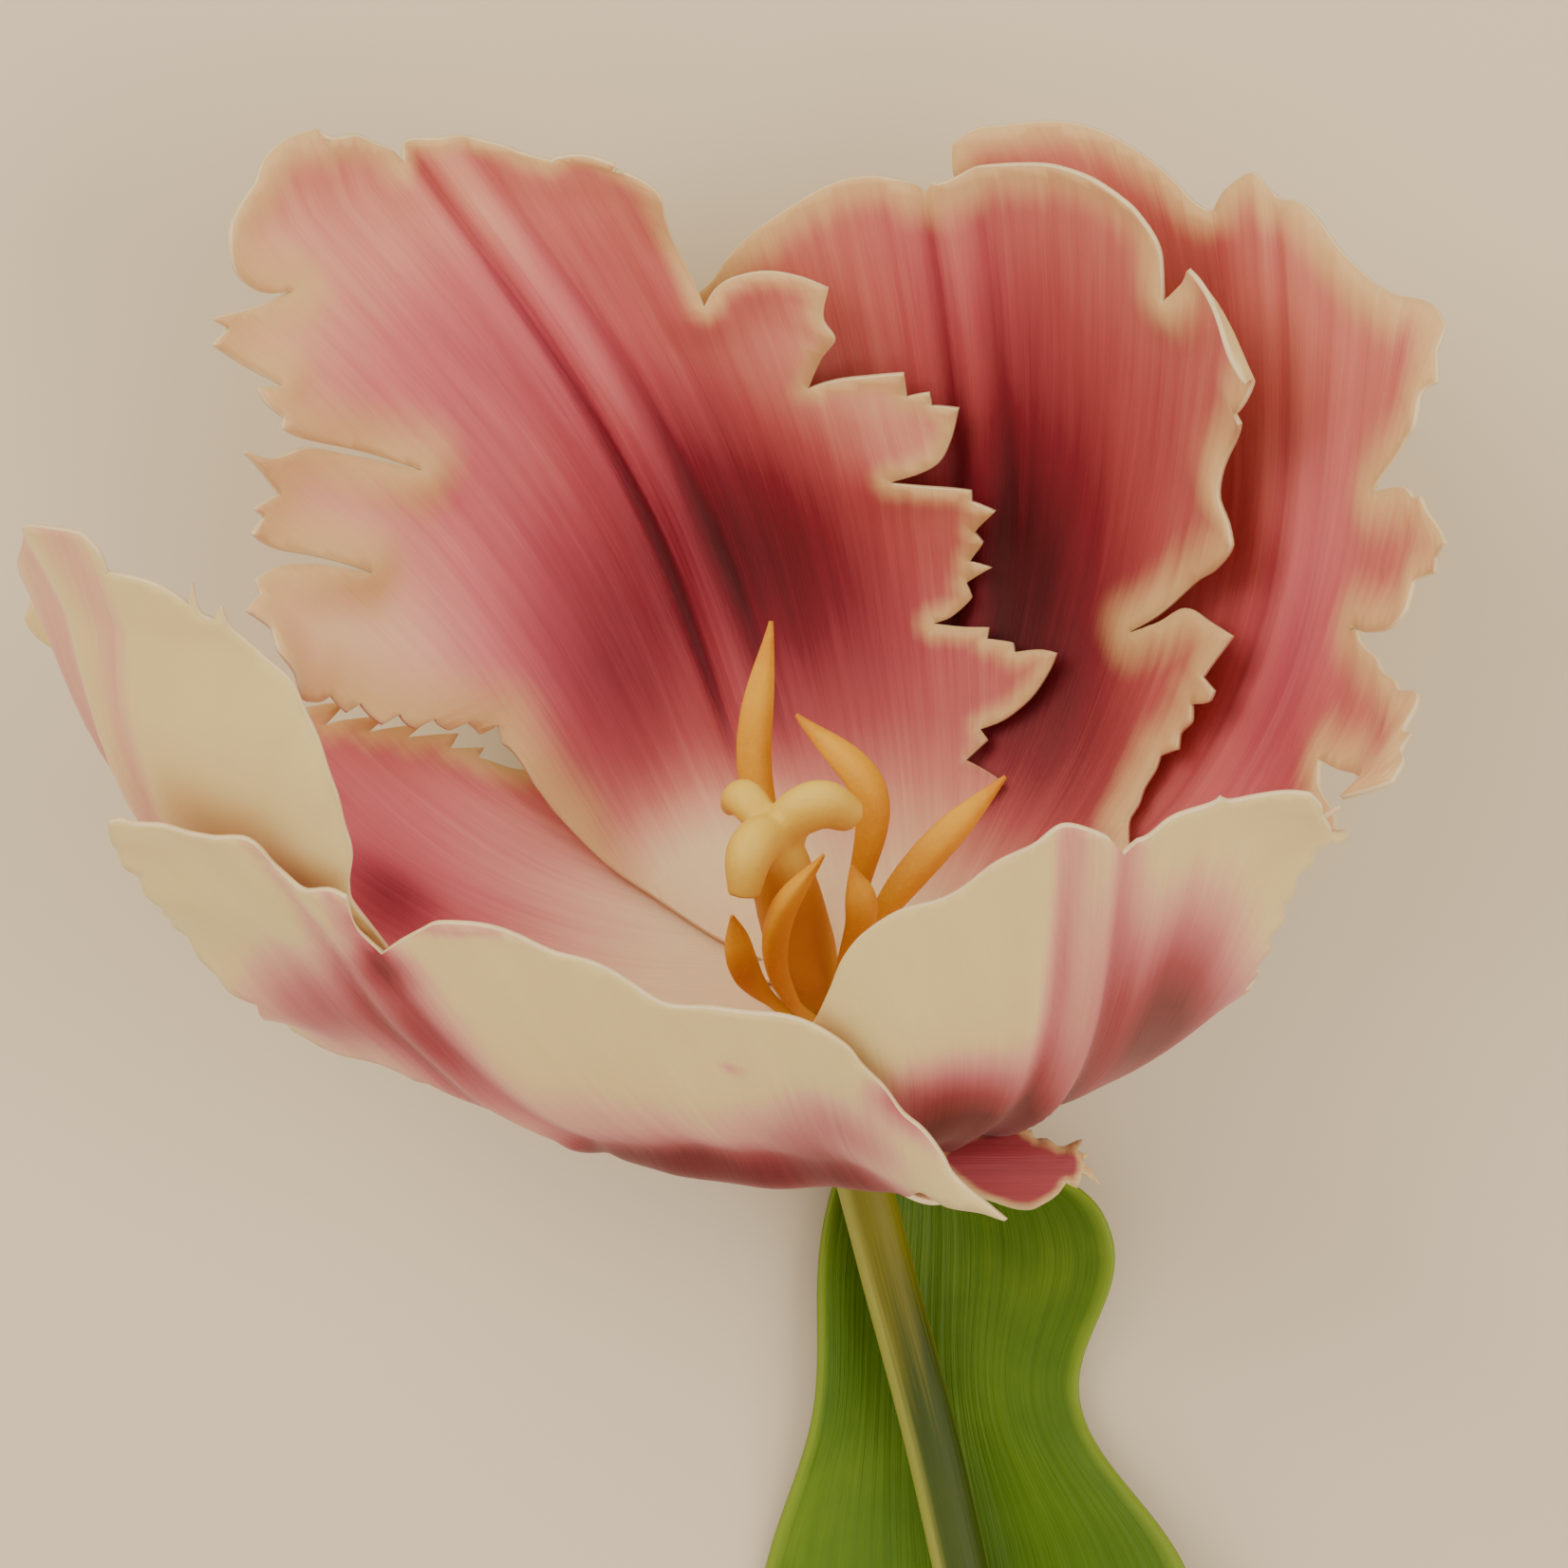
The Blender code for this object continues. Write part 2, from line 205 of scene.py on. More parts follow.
world = bpy.data.worlds.new("room")
bpy.context.scene.world = world
world.use_nodes = True
surroundings = world.node_tree.nodes["Background"].inputs
surroundings["Color"].default_value = rgba(246, 237, 220)
surroundings["Strength"].default_value = 1.25
for name, (place, size, power, tint) in LAMPS.items():
    lamp = bpy.data.lights.new(name, "AREA")
    lamp.shape, lamp.size, lamp.energy, lamp.color = "SQUARE", size, power, rgb(*tint)
    hung = bpy.data.objects.new(name, lamp)
    hung.location = place
    hung.rotation_mode = "QUATERNION"
    hung.rotation_quaternion = (LIT - Vector(place)).to_track_quat("-Z", "Y")
    bpy.context.scene.collection.objects.link(hung)

# Tepals. Six thin fleshy blades grown from the receptacle, each lying on its own offset
# of one cup. Their margins are cut into lobes and teeth, a groove between two low ridges
# runs down the midrib, and the red of the inner face pales to cream along the fringe.
TILT, LEAN = 44.0, 14.6             # of the bloom's axis: up from the table, and to the left
LAYER = 1.0                         # mm from one layer of the cup to the next
SEAT = 3.6                          # the blades start this far from the axis
BEND_POWER = 1.6                    # how suddenly they turn up
CURL_FROM = 0.55                    # and from which share of their length they bend out
WAVE, WAVE_LENGTH = 0.5, 14.0       # ripple of the margins
ROLL_AT, ROLL_BREADTH = 0.47, 0.2   # where a margin rolls out, in shares of the length
NOTCH_BREADTH = 0.1                 # of the dip at a blade's tip
SHEET = 0.42                        # thickness of a blade
SET_IN = 0.14                       # its outer face lies this far inside the solid's
SPREAD = 35.0                       # half a blade's breadth on the flat pattern
ARC_STEPS = 40                      # a blade's arc is summed in so many steps

# The cup isn't round. How wide it is by direction, from low down to near the rim:
CUP_LOW = [(0, 1.13), (30, 1.1), (62, 1.03), (90, 1.0), (120, 1.0), (160, 1.03), (185, 1.05), (203, 0.93),
           (220, 0.84), (240, 0.77), (265, 0.81), (285, 0.88), (305, 1.0), (330, 1.13), (360, 1.14)]
CUP_HIGH = [(0, 1.14), (30, 1.12), (62, 1.04), (90, 1.0), (120, 1.0), (160, 1.0), (190, 0.98), (215, 0.94),
            (240, 0.86), (265, 0.87), (285, 0.94), (305, 1.02), (330, 1.1), (360, 1.14)]
CUP_STARTS, CUP_MIDDLE, CUP_RIM = 9.0, 40.0, 75.0   # heights at which each takes over

tilt, lean = math.radians(TILT), math.radians(LEAN)
UP = np.array([-math.sin(lean) * math.cos(tilt), math.cos(lean) * math.cos(tilt), math.sin(tilt)])
SIDE = np.array([math.cos(lean), math.sin(lean), 0.0])
BACK = np.cross(UP, SIDE)


def on_axis(height, radius=0.0, azimuth=0.0):
    """Points round the bloom's axis."""
    height, radius, turn = np.broadcast_arrays(height, radius, np.radians(azimuth))
    return (np.array(RECEPTACLE) + height[..., None] * UP
            + radius[..., None] * (np.cos(turn)[..., None] * SIDE + np.sin(turn)[..., None] * BACK))


def through(points, x):
    """Values at x of a smooth line through a few points."""
    px, py = np.array(points, float).T
    slope = np.gradient(py, px)
    i = np.clip(np.searchsorted(px, x) - 1, 0, len(px) - 2)
    step = px[i + 1] - px[i]
    t = np.clip((x - px[i]) / step, 0, 1)
    return (py[i] * (1 + 2 * t) * (1 - t) ** 2 + slope[i] * step * t * (1 - t) ** 2
            + py[i + 1] * t * t * (3 - 2 * t) - slope[i + 1] * step * t * t * (1 - t))


def across(values, u):
    """From the value at a blade's middle to those at its two margins."""
    before, middle, after = values
    return middle + (np.where(u < 0, before, after) - middle) * u * u


def soft(value, low, high):
    """0 below low, 1 above high and smooth in between."""
    t = np.clip((value - low) / (high - low), 0, 1)
    return t * t * (3 - 2 * t)


def hump(value, at, breadth):
    """1 where value is at, falling off over a breadth to each side."""
    return np.exp(-((value - at) / breadth) ** 2)


def half_width(t, v, u):
    """Half a blade's breadth in mm, on the side where u is."""
    return np.where(u < 0, through(t["before"], v), through(t["after"], v))


def blade_points(t, v, u, lifted=0.0):
    """Points of a tepal at share v of its length and share u of its half width, set in from
    the cup by lifted."""
    corner_before, corner_after, notch = t["crown"]
    crown = np.where(u < 0, corner_before, corner_after) * np.abs(u) ** 2.2 + notch * hump(u, 0.0, NOTCH_BREADTH)
    s = t["length"] * v - crown * v ** 4

    def slope(at):
        wide = u[..., None]
        upright = across(t["rise"], wide) * (1 - np.exp(-(at / across(t["bend"], wide)) ** BEND_POWER))
        out = across(t["curl"], wide) * np.clip((at / t["length"] - CURL_FROM) / (1 - CURL_FROM), 0, 1) ** 2
        return np.radians(upright - out)

    steps = (np.arange(ARC_STEPS) + 0.5) / ARC_STEPS
    along = slope(np.maximum(s[..., None] * steps, 0.0))
    end = slope(np.maximum(s[..., None], 0.0))[..., 0]
    ripple = WAVE * np.sin(2 * math.pi * s / WAVE_LENGTH) * u ** 4 * np.clip((v - 0.3) / 0.2, 0, 1)
    roll = t["roll"] * np.clip((u - 0.3) / 0.7, 0, 1) ** 2 * hump(v, ROLL_AT, ROLL_BREADTH)
    inward = (2 - t["layer"]) * LAYER + across(t["lift"], u) * v ** 1.5 + ripple - roll + lifted
    radius = SEAT + np.cos(along).mean(-1) * s - np.sin(end) * inward
    height = np.sin(along).mean(-1) * s + np.cos(end) * inward
    azimuth = through(t["azimuth"], v) + np.degrees(u * half_width(t, v, u) / np.maximum(radius, 6.0))
    low, high = (through(places, azimuth % 360.0) for places in (CUP_LOW, CUP_HIGH))
    wider = low + (high - low) * soft(height, CUP_MIDDLE, CUP_RIM)
    return on_axis(height, radius * (1 + (wider - 1) * soft(height, 0.0, CUP_STARTS)), azimuth)


def in_picture(points):
    """Where points in mm fall in the picture, in px from its top left corner."""
    px = PICTURE_MM / PICTURE * (CAMERA_OVER - (points[..., 2] - RECEPTACLE[2])) / CAMERA_OVER
    return np.stack([PICTURE / 2 + (points[..., 0] - CAMERA_AT[0]) / px,
                     PICTURE / 2 - (points[..., 1] - CAMERA_AT[1]) / px], -1)


def on_blade(t, marks, within, lifted):
    """Shares (v, u) of the places on a tepal that lie under marks in the picture."""
    low, high = np.array(within[0]), np.array(within[1])
    v, u = np.meshgrid(np.linspace(low[0], high[0], 90), np.linspace(low[1], high[1], 90), indexing="ij")
    seen = in_picture(blade_points(t, v, u, lifted)).reshape(-1, 2)
    marks = np.array(marks, float)
    nearest = ((marks[:, None] - seen) ** 2).sum(-1).argmin(1)
    found = np.stack([v.ravel()[nearest], u.ravel()[nearest]], -1)
    step = 0.002
    for _ in range(6):
        here = in_picture(blade_points(t, found[:, 0], found[:, 1], lifted))
        more_v = (in_picture(blade_points(t, found[:, 0] + step, found[:, 1], lifted)) - here) / step
        more_u = (in_picture(blade_points(t, found[:, 0], found[:, 1] + step, lifted)) - here) / step
        miss = marks - here
        turn = more_v[:, 0] * more_u[:, 1] - more_v[:, 1] * more_u[:, 0]
        turn = np.where(np.abs(turn) < 1e3, 1e3, turn)
        move = np.stack([miss[:, 0] * more_u[:, 1] - miss[:, 1] * more_u[:, 0],
                         more_v[:, 0] * miss[:, 1] - more_v[:, 1] * miss[:, 0]], -1) / turn[:, None]
        found = np.clip(found + np.clip(move, -0.03, 0.03), low, high)
    return found


def rounded(corners, spacing):
    """A line through corners that bends softly at shallow ones and stays sharp at teeth."""
    ahead = np.diff(corners, axis=0)
    length = np.linalg.norm(ahead, axis=1)
    way = ahead / np.maximum(length, 1e-9)[:, None]
    turn = (way[1:] * way[:-1]).sum(1)
    tangent = np.zeros_like(corners)
    gentle = np.clip((turn - 0.35) / 0.4, 0, 1)[:, None]
    tangent[1:-1] = gentle * (way[1:] + way[:-1]) / 2
    line = [corners[:1]]
    for i, far in enumerate(length):
        t = np.linspace(0, 1, max(2, int(far / spacing) + 1))[1:, None]
        one = tangent[i] if tangent[i].any() else way[i] * 0.6
        two = tangent[i + 1] if tangent[i + 1].any() else way[i] * 0.6
        line.append(corners[i] * (1 + 2 * t) * (1 - t) ** 2 + one * far * t * (1 - t) ** 2
                    + corners[i + 1] * t * t * (3 - 2 * t) - two * far * t * t * (1 - t))
    return np.concatenate(line)


def toothed(marks, count, depth):
    """A hidden margin: a smooth line through shares (v, u) cut into teeth."""
    share = np.linspace(0, 1, 2 * count + 1)
    places = np.linspace(0, 1, len(marks))
    v, u = (through(list(zip(places, np.array(marks, float)[:, k])), share) for k in (0, 1))
    cut = depth * (np.arange(2 * count + 1) % 2) * (1 - 0.45 * np.sin(7.0 * share) ** 2)
    return np.stack([v - 0.2 * cut, u * (1 - cut)], -1)


def new_piece(name, mesh, node, slot, *materials):
    """Puts a finished mesh on the flower in place of its solid."""
    for made in materials:
        mesh.materials.append(made)
    piece = bpy.data.objects.new(name, mesh)
    bpy.context.scene.collection.objects.link(piece)
    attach(piece, "root")
    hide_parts(node)
    return piece


# Each tepal. v runs up its length from 0 to 1 and u across from -1, before, to 1, after, as the
# azimuth round the bloom grows. Pairs and triples are values by v, or before and after the middle.
# Angles: azimuth, rise up the blade, curl out. In mm: length, before and after its half widths,
# bend the arc of its turn, lift off the cup, roll, crown how far its corners and notch fall short,
# curl_in of the fringe, crease the line of the midrib, pale the breadth of the pale margin.
# ridge is how strong the midrib is, in its relief, its rose bands outside and the painted shade and highlight along it
# inside, and face is 1 where the inner face looks at the camera.
# flush, rosy and outside are washes: place (v, mm), breadths (v, mm) and strength. outline goes
# round it: margins seen are marks in px of the picture between two limits of (v, u), hidden ones
# are places (v, u), and toothed ones have a count and depth of teeth.
TEPALS = {
    "tepal_back_left": dict(
        layer=0, azimuth=[(0, 100), (0.5, 101), (1, 115)], length=88, bend=(33, 33, 33),
        rise=(80, 78, 79), curl=(0, 0, 0), lift=(2.5, 0, 3), roll=0,
        before=[(0, 3), (0.2, 18), (0.4, 36), (0.6, 42), (0.7, 40), (0.8, 35), (0.9, 28), (1, 21)],
        after=[(0, 3), (0.2, 9), (0.35, 11), (0.43, 13), (0.52, 28), (0.7, 31), (0.85, 32), (1, 30)],
        crown=(6.5, 0, 2), curl_in=(1.6, 1.6), face=1, seed=3.0,
        crease=[(0, -1), (0.5, -4), (0.7, -5), (1, -6.5)], ridge=1.0, pale=(2.4, 6.0),
        flush=[(0.48, -12, 0.17, 10, 0.42), (0.42, 4, 0.16, 8, 0.22), (0.62, 26, 0.28, 13, -0.42),
               (0.2, 4, 0.09, 9, -0.3), (0.66, -27, 0.09, 7, -0.28), (0.97, 12, 0.13, 9, -0.22),
               (0.93, -4, 0.08, 10, -0.08)],
        rosy=[(0.5, 12, 0.25, 16, 1), (0.8, 0, 0.15, 14, 0.7), (0.35, -20, 0.1, 8, 0.4), (0.5, -8, 0.3, 6, 0.4)],
        outside=[],
        outline=[
            ("hidden", [(0, -1), (0.07, -1), (0.14, -1)]),
            ("seen", ((0.1, -1.3), (1.06, 0.3)), [
                (917, 947), (955, 912), (992, 878), (1037, 841), (1058, 824), (1019, 801), (1042, 780), (1034, 769),
                (1058, 760), (1083, 741), (1102, 716), (1115, 689), (1100, 685), (1071, 688), (1069, 678),
                (1042, 674), (1044, 662), (1017, 661), (985, 657), (1002, 651), (1026, 630), (1020, 615),
                (1047, 599), (1024, 592), (1037, 571), (1028, 560), (1047, 533), (1022, 523), (1021, 511),
                (973, 506), (936, 503), (984, 485), (1001, 463), (1012, 430), (984, 428), (981, 414), (957, 418),
                (952, 391), (920, 393), (889, 397), (853, 409), (865, 369), (874, 348), (862, 330), (871, 300),
                (845, 290), (815, 284), (775, 290), (750, 303), (737, 318)]),
            ("seen", ((0.5, -1.3), (1.06, 0.5)), [
                (728, 290), (712, 255), (697, 225), (680, 190), (650, 172), (620, 163), (580, 168), (545, 158),
                (505, 146), (465, 142), (432, 150)]),
            ("seen", ((0.5, -0.4), (1.12, 1.3)), [
                (424, 172), (412, 158), (390, 146), (360, 138), (330, 136), (295, 146), (272, 165), (261, 190),
                (245, 213), (233, 238), (234, 268), (250, 293), (275, 308), (308, 308), (270, 322), (218, 334),
                (240, 346), (223, 364), (255, 385), (290, 402), (266, 407), (274, 422), (290, 434), (288, 446),
                (312, 458), (345, 468), (440, 492), (370, 481), (316, 469), (280, 476), (247, 470), (266, 490),
                (292, 520), (263, 534), (276, 544), (262, 562), (285, 577), (330, 584), (385, 598), (335, 592),
                (290, 597), (268, 611), (273, 626), (259, 645), (281, 660), (286, 682), (300, 701), (310, 728),
                (335, 740), (347, 733), (365, 752), (378, 742)]),
            ("seen", ((0.3, 0.3), (0.75, 1.6)), [
                (400, 762), (418, 752), (435, 766), (455, 757),
                (470, 768), (490, 760), (505, 774), (524, 764), (530, 785), (544, 797)]),
            ("seen", ((0.04, -0.2), (0.7, 1.4)), [
                (560, 822), (582, 853), (622, 895), (690, 945), (760, 990), (815, 1022)]),
            ("hidden", [(0.05, 1), (0, 1)])]),
    "tepal_back_right": dict(
        layer=1, azimuth=[(0, 56), (0.5, 55), (1, 58)], length=79, bend=(33, 33, 33),
        rise=(80, 77, 76), curl=(0, 0, 0), lift=(2.5, -0.2, -0.6), roll=0,
        before=[(0, 3), (0.2, 17), (0.4, 31), (0.6, 39), (0.8, 43), (1, 33)],
        after=[(0, 3), (0.2, 15), (0.4, 25), (0.6, 29), (0.8, 28), (1, 17)],
        crown=(8, 6, 2), curl_in=(1.5, 0), face=1, seed=11.0,
        crease=[(0, 0), (1, 1.5)], ridge=0.7, pale=(5, 4),
        flush=[(0.5, -4, 0.2, 9, 0.4), (0.34, -12, 0.12, 8, 0.16), (0.65, -8, 0.35, 14, 0.13)],
        rosy=[(0.5, -5, 0.2, 6, 0.4), (0.85, 0, 0.1, 6, 0.4)], outside=[],
        outline=[
            ("hidden", [(0, -1), (0.1, -1), (0.2, -1), (0.3, -1)]),
            ("seen", ((0.3, -1.3), (1.06, 0.2)), [
                (1188, 880), (1190, 862), (1198, 849), (1204, 832), (1217, 810), (1221, 798), (1240, 791),
                (1243, 774), (1258, 760), (1260, 741), (1283, 734), (1287, 724), (1275, 710), (1283, 697),
                (1299, 672), (1275, 653), (1252, 641), (1228, 652), (1196, 664), (1226, 646), (1260, 615),
                (1286, 597), (1308, 566), (1303, 545), (1292, 520), (1291, 495), (1303, 464), (1316, 437),
                (1311, 427), (1316, 400), (1296, 340), (1272, 290), (1247, 299), (1232, 312),
                (1228, 290), (1218, 253), (1195, 214), (1163, 186), (1121, 173), (1058, 171), (1010, 184),
                (984, 193), (973, 206)]),
            ("seen", ((0.4, -0.3), (1.06, 1.3)), [
                (952, 191), (921, 186), (884, 192), (852, 206), (820, 226), (790, 248), (764, 274), (748, 297)]),
            ("toothed", [(0.85, 0.95), (0.7, 0.97), (0.5, 0.97), (0.33, 0.97)], 11, 0.05),
            ("hidden", [(0.2, 1), (0.1, 1), (0, 1)])]),
    "tepal_right": dict(
        layer=2, azimuth=[(0, 5), (0.5, 14), (1, 30)], length=82, bend=(33, 33, 33),
        rise=(72, 71, 75), curl=(46, 8, 0), lift=(2.4, 0, 0), roll=0,
        before=[(0, 3), (0.2, 15), (0.4, 29), (0.6, 38), (0.7, 38), (0.8, 35), (0.9, 31), (1, 27)],
        after=[(0, 3), (0.2, 15), (0.4, 25), (0.6, 28), (0.8, 28), (1, 21)],
        crown=(2, 1, 3), curl_in=(0.8, 0), face=1, seed=23.0,
        crease=[(0, 0), (1, 0)], ridge=0.3, pale=(5.5, 3.5),
        flush=[(0.45, 5, 0.25, 7, 0.12), (0.9, 9, 0.1, 6, 0.12), (0.5, -9, 0.1, 7, 0.1), (0.8, -5, 0.15, 6, -0.06)],
        rosy=[(0.55, -6, 0.25, 7, 0.8)], outside=[],
        outline=[
            ("hidden", [(0, -1), (0.1, -0.9), (0.2, -0.7), (0.32, -0.55), (0.45, -0.55), (0.52, -0.6)]),
            ("seen", ((0.25, -1.7), (1.06, 0.45)), [
                (1408, 852), (1396, 828), (1394, 801), (1412, 812), (1440, 822), (1471, 826), (1478, 808),
                (1474, 792), (1487, 775), (1480, 768), (1490, 747), (1477, 727), (1461, 697), (1442, 676),
                (1428, 662), (1450, 666), (1485, 640), (1490, 616), (1513, 603), (1515, 588), (1532, 572),
                (1511, 543), (1495, 524), (1479, 514), (1446, 519), (1458, 500), (1485, 464), (1499, 443),
                (1502, 418), (1519, 403), (1515, 370), (1523, 346), (1511, 325), (1469, 309), (1432, 284),
                (1400, 248), (1363, 211), (1332, 196), (1300, 191), (1287, 203), (1276, 222)]),
            ("seen", ((0.5, -0.3), (1.06, 1.3)), [
                (1258, 216), (1226, 184), (1195, 158), (1158, 138), (1110, 129), (1058, 132), (1021, 138),
                (1000, 153), (999, 175)]),
            ("toothed", [(0.85, 0.95), (0.7, 0.97), (0.5, 0.97), (0.33, 0.97)], 11, 0.05),
            ("hidden", [(0.2, 1), (0.1, 1), (0, 1)])]),
    "tepal_left": dict(
        layer=1, azimuth=[(0, 172), (0.5, 173), (1, 171)], length=92, bend=(33, 33, 33),
        rise=(74, 77, 94), curl=(0, 0, 0), lift=(0, 0, 0), roll=0,
        before=[(0, 3), (0.2, 20), (0.4, 36), (0.5, 32), (0.6, 15), (0.8, 5), (1, 2)],
        after=[(0, 3), (0.2, 17), (0.4, 28), (0.6, 32), (0.8, 33), (1, 24)],
        crown=(3, 1, 2), curl_in=(0, 0), face=-1, seed=31.0,
        crease=[(0, 0), (0.6, 6), (0.85, 11), (1, 12)], ridge=0.6, pale=(2.5, 4),
        flush=[(0.39, -8, 0.06, 4, 0.3), (0.28, -16, 0.16, 10, -0.18)], rosy=[(0.4, -12, 0.3, 16, 1)],
        outside=[(0.9, 6, 0.2, 3, 0.34), (0.72, 2, 0.1, 5, 0.5), (0.62, 12, 0.09, 8, 0.2), (0.76, 20, 0.05, 5, 0.16)],
        outline=[
            ("hidden", [(0, -1), (0.1, -1), (0.2, -1), (0.3, -1)]),
            ("seen", ((0.3, -1.4), (0.75, -0.3)), [
                (540, 812), (500, 800), (505, 790), (470, 790), (478, 775), (425, 778), (440, 765), (385, 772),
                (400, 758), (340, 765), (355, 745)]),
            ("hidden", [(0.62, -1), (0.8, -1)]),
            ("seen", ((0.85, -1.8), (1.12, 1.3)), [
                (25, 652), (19, 605), (22, 562), (28, 550), (55, 560), (78, 562), (97, 580)]),
            ("seen", ((0.3, 0.2), (1.12, 1.4)), [
                (108, 605), (135, 610), (160, 618), (185, 632), (196, 640),
                (200, 617), (210, 650), (222, 655), (232, 640), (240, 662), (262, 680), (285, 700), (303, 715),
                (318, 745), (335, 785), (350, 830), (362, 870), (370, 905), (365, 935), (368, 955)]),
            ("hidden", [(0.2, 1), (0.1, 1), (0, 1)])]),
    "tepal_front_left": dict(
        layer=4, azimuth=[(0, 240), (0.5, 236), (1, 233)], length=82, bend=(32, 29, 30),
        rise=(78, 84, 80), curl=(0, 0, 0), lift=(0, 0, 0), roll=15,
        before=[(0, 3), (0.2, 13), (0.4, 21), (0.6, 29), (0.8, 35), (1, 33)],
        after=[(0, 3), (0.2, 20), (0.4, 36), (0.6, 46), (0.7, 44), (0.76, 39), (0.83, 30), (0.9, 25), (1, 20)],
        crown=(4, 9, 5), curl_in=(0, 0), face=-1, seed=43.0,
        crease=[(0, -10), (0.45, -16), (0.6, -19), (0.8, -21), (1, -22)], ridge=0.6, pale=(5, 5),
        flush=[(0.5, 25, 0.2, 10, 0.3)], rosy=[],
        outside=[(0.64, -27, 0.1, 7, 0.6), (0.58, -18, 0.14, 5, 0.48), (0.4, -5, 0.13, 14, 0.3),
                 (0.28, -2, 0.08, 26, 0.75), (0.38, 15, 0.1, 6, 0.55), (0.48, 22, 0.07, 6, 0.42),
                 (0.56, 31, 0.04, 4, 0.6), (0.79, -10, 0.02, 9, 0.3), (0.72, -18, 0.04, 3, 0.45),
                 (0.57, 13, 0.015, 1.6, 0.3)],
        outline=[
            ("hidden", [(0, -1), (0.1, -0.9), (0.17, -0.8)]),
            ("seen", ((0.2, -1.3), (1.0, -0.3)), [
                (450, 1142), (375, 1117), (300, 1085), (270, 1062), (240, 1045), (228, 1028), (208, 1012),
                (196, 990), (180, 980), (170, 958), (152, 944), (146, 925), (130, 915), (124, 900)]),
            ("seen", ((0.7, -1.4), (1.06, 0.1)), [
                (118, 890), (112, 872), (125, 868), (140, 872), (170, 872), (205, 882), (235, 885), (262, 893),
                (290, 920), (325, 938), (350, 945), (362, 950), (375, 985), (400, 1010)]),
            ("seen", ((0.6, -0.6), (1.06, 1.3)), [
                (415, 998), (440, 985), (460, 975), (490, 975), (530, 985), (600, 1010), (700, 1060), (812, 1072)]),
            ("seen", ((0.3, 0.5), (0.9, 1.35)), [
                (837, 1078), (867, 1089), (892, 1105), (908, 1126), (929, 1149), (950, 1178), (971, 1193),
                (992, 1220), (1000, 1237), (1017, 1257), (1033, 1270), (1058, 1287), (1033, 1282), (992, 1270),
                (950, 1262)]),
            ("hidden", [(0.2, 1), (0.1, 1), (0, 1)])]),
    "tepal_front_right": dict(
        layer=3, azimuth=[(0, 300), (0.5, 302), (1, 305)], length=77, bend=(28, 33, 39),
        rise=(84, 81, 68), curl=(0, 0, 0), lift=(1.8, 0, -0.9), roll=0,
        before=[(0, 3), (0.2, 15), (0.4, 26), (0.6, 28), (0.8, 25), (1, 18)],
        after=[(0, 3), (0.2, 16), (0.4, 28), (0.6, 31), (0.8, 28), (1, 17)],
        crown=(9, 6, 3), curl_in=(0, 0), face=-1, seed=57.0,
        crease=[(0, 0), (0.5, -2), (1, -3)], ridge=0.8, pale=(5, 5), flush=[], rosy=[(0.5, 0, 1, 30, 0.5)],
        outside=[(0.62, 5, 0.17, 5, 0.7), (0.72, 1, 0.2, 7, 0.26), (0.5, 9, 0.12, 8, 0.55), (0.42, -9, 0.14, 7, 0.95),
                 (0.56, -12, 0.09, 6, 0.42), (0.33, -1, 0.12, 12, 0.8)],
        outline=[
            ("hidden", [(0, -1), (0.1, -1), (0.2, -1)]),
            ("seen", ((0.25, -1.4), (1.06, 0.1)), [
                (875, 1041), (887, 1012), (912, 987), (950, 962), (992, 949), (1017, 937), (1046, 916),
                (1075, 899), (1100, 885), (1125, 876), (1150, 878), (1171, 887), (1190, 905)]),
            ("seen", ((0.7, -0.1), (1.06, 1.4)), [
                (1204, 891), (1225, 874), (1254, 857), (1283, 847), (1287, 843), (1296, 847), (1325, 843),
                (1367, 839), (1383, 841), (1394, 853)]),
            ("toothed", [(0.9, 0.58), (0.8, 0.48), (0.7, 0.45), (0.6, 0.45), (0.5, 0.5), (0.4, 0.75), (0.3, 1.0)],
             9, 0.05),
            ("hidden", [(0.2, 1), (0.1, 1), (0, 1)])]),
}
POINTS_APART = 1.0      # mm between the points of a blade's mesh
EDGE_APART = 0.45       # and along its margin
SEEN_LIFT = 0.5         # the inner faces that show lie this far in from the cup


def filled(line, lattice):
    """A flat outline and the points inside it, joined into triangles."""
    points = [Vector(p) for p in np.concatenate([line, lattice])]
    points, _, faces, *_ = delaunay_2d_cdt(points, [], [list(range(len(line)))], 1, 1e-5)
    kept, faces = np.unique([f for f in faces if len(f) == 3], return_inverse=True)
    return np.array([tuple(p) for p in points])[kept], faces.reshape(-1, 3)


def keep_marks(mesh, **marks):
    """Keeps numbers on a mesh's points, for its finish to read."""
    for key, values in marks.items():
        mesh.attributes.new(key, "FLOAT", "POINT").data.foreach_set("value", np.asarray(values, np.float32))


def thin_blade(name, mesh, tepal, inner):
    """Puts a sheet on the flower as a living blade: smooth, thick and with its three finishes."""
    mesh.polygons.foreach_set("use_smooth", np.ones(len(mesh.polygons), bool))
    piece = new_piece(name, mesh, tepal, "tepal", outer, inner, rim)
    thick = piece.modifiers.new("thickness", "SOLIDIFY")
    thick.thickness, thick.offset = SHEET * MM, -1.0
    thick.material_offset, thick.material_offset_rim = 1, 2


def pattern(t, seen_lift):
    """A tepal's outline on the flat: shares (v, u) all the way round."""
    runs = []
    for kind, *rest in t["outline"]:
        if kind == "seen":
            runs.append(on_blade(t, rest[1], rest[0], seen_lift))
        elif kind == "toothed":
            runs.append(toothed(*rest))
        else:
            runs.append(np.array(rest[0], float))
    corners = np.concatenate(runs) * (t["length"], SPREAD)
    return rounded(corners, EDGE_APART)


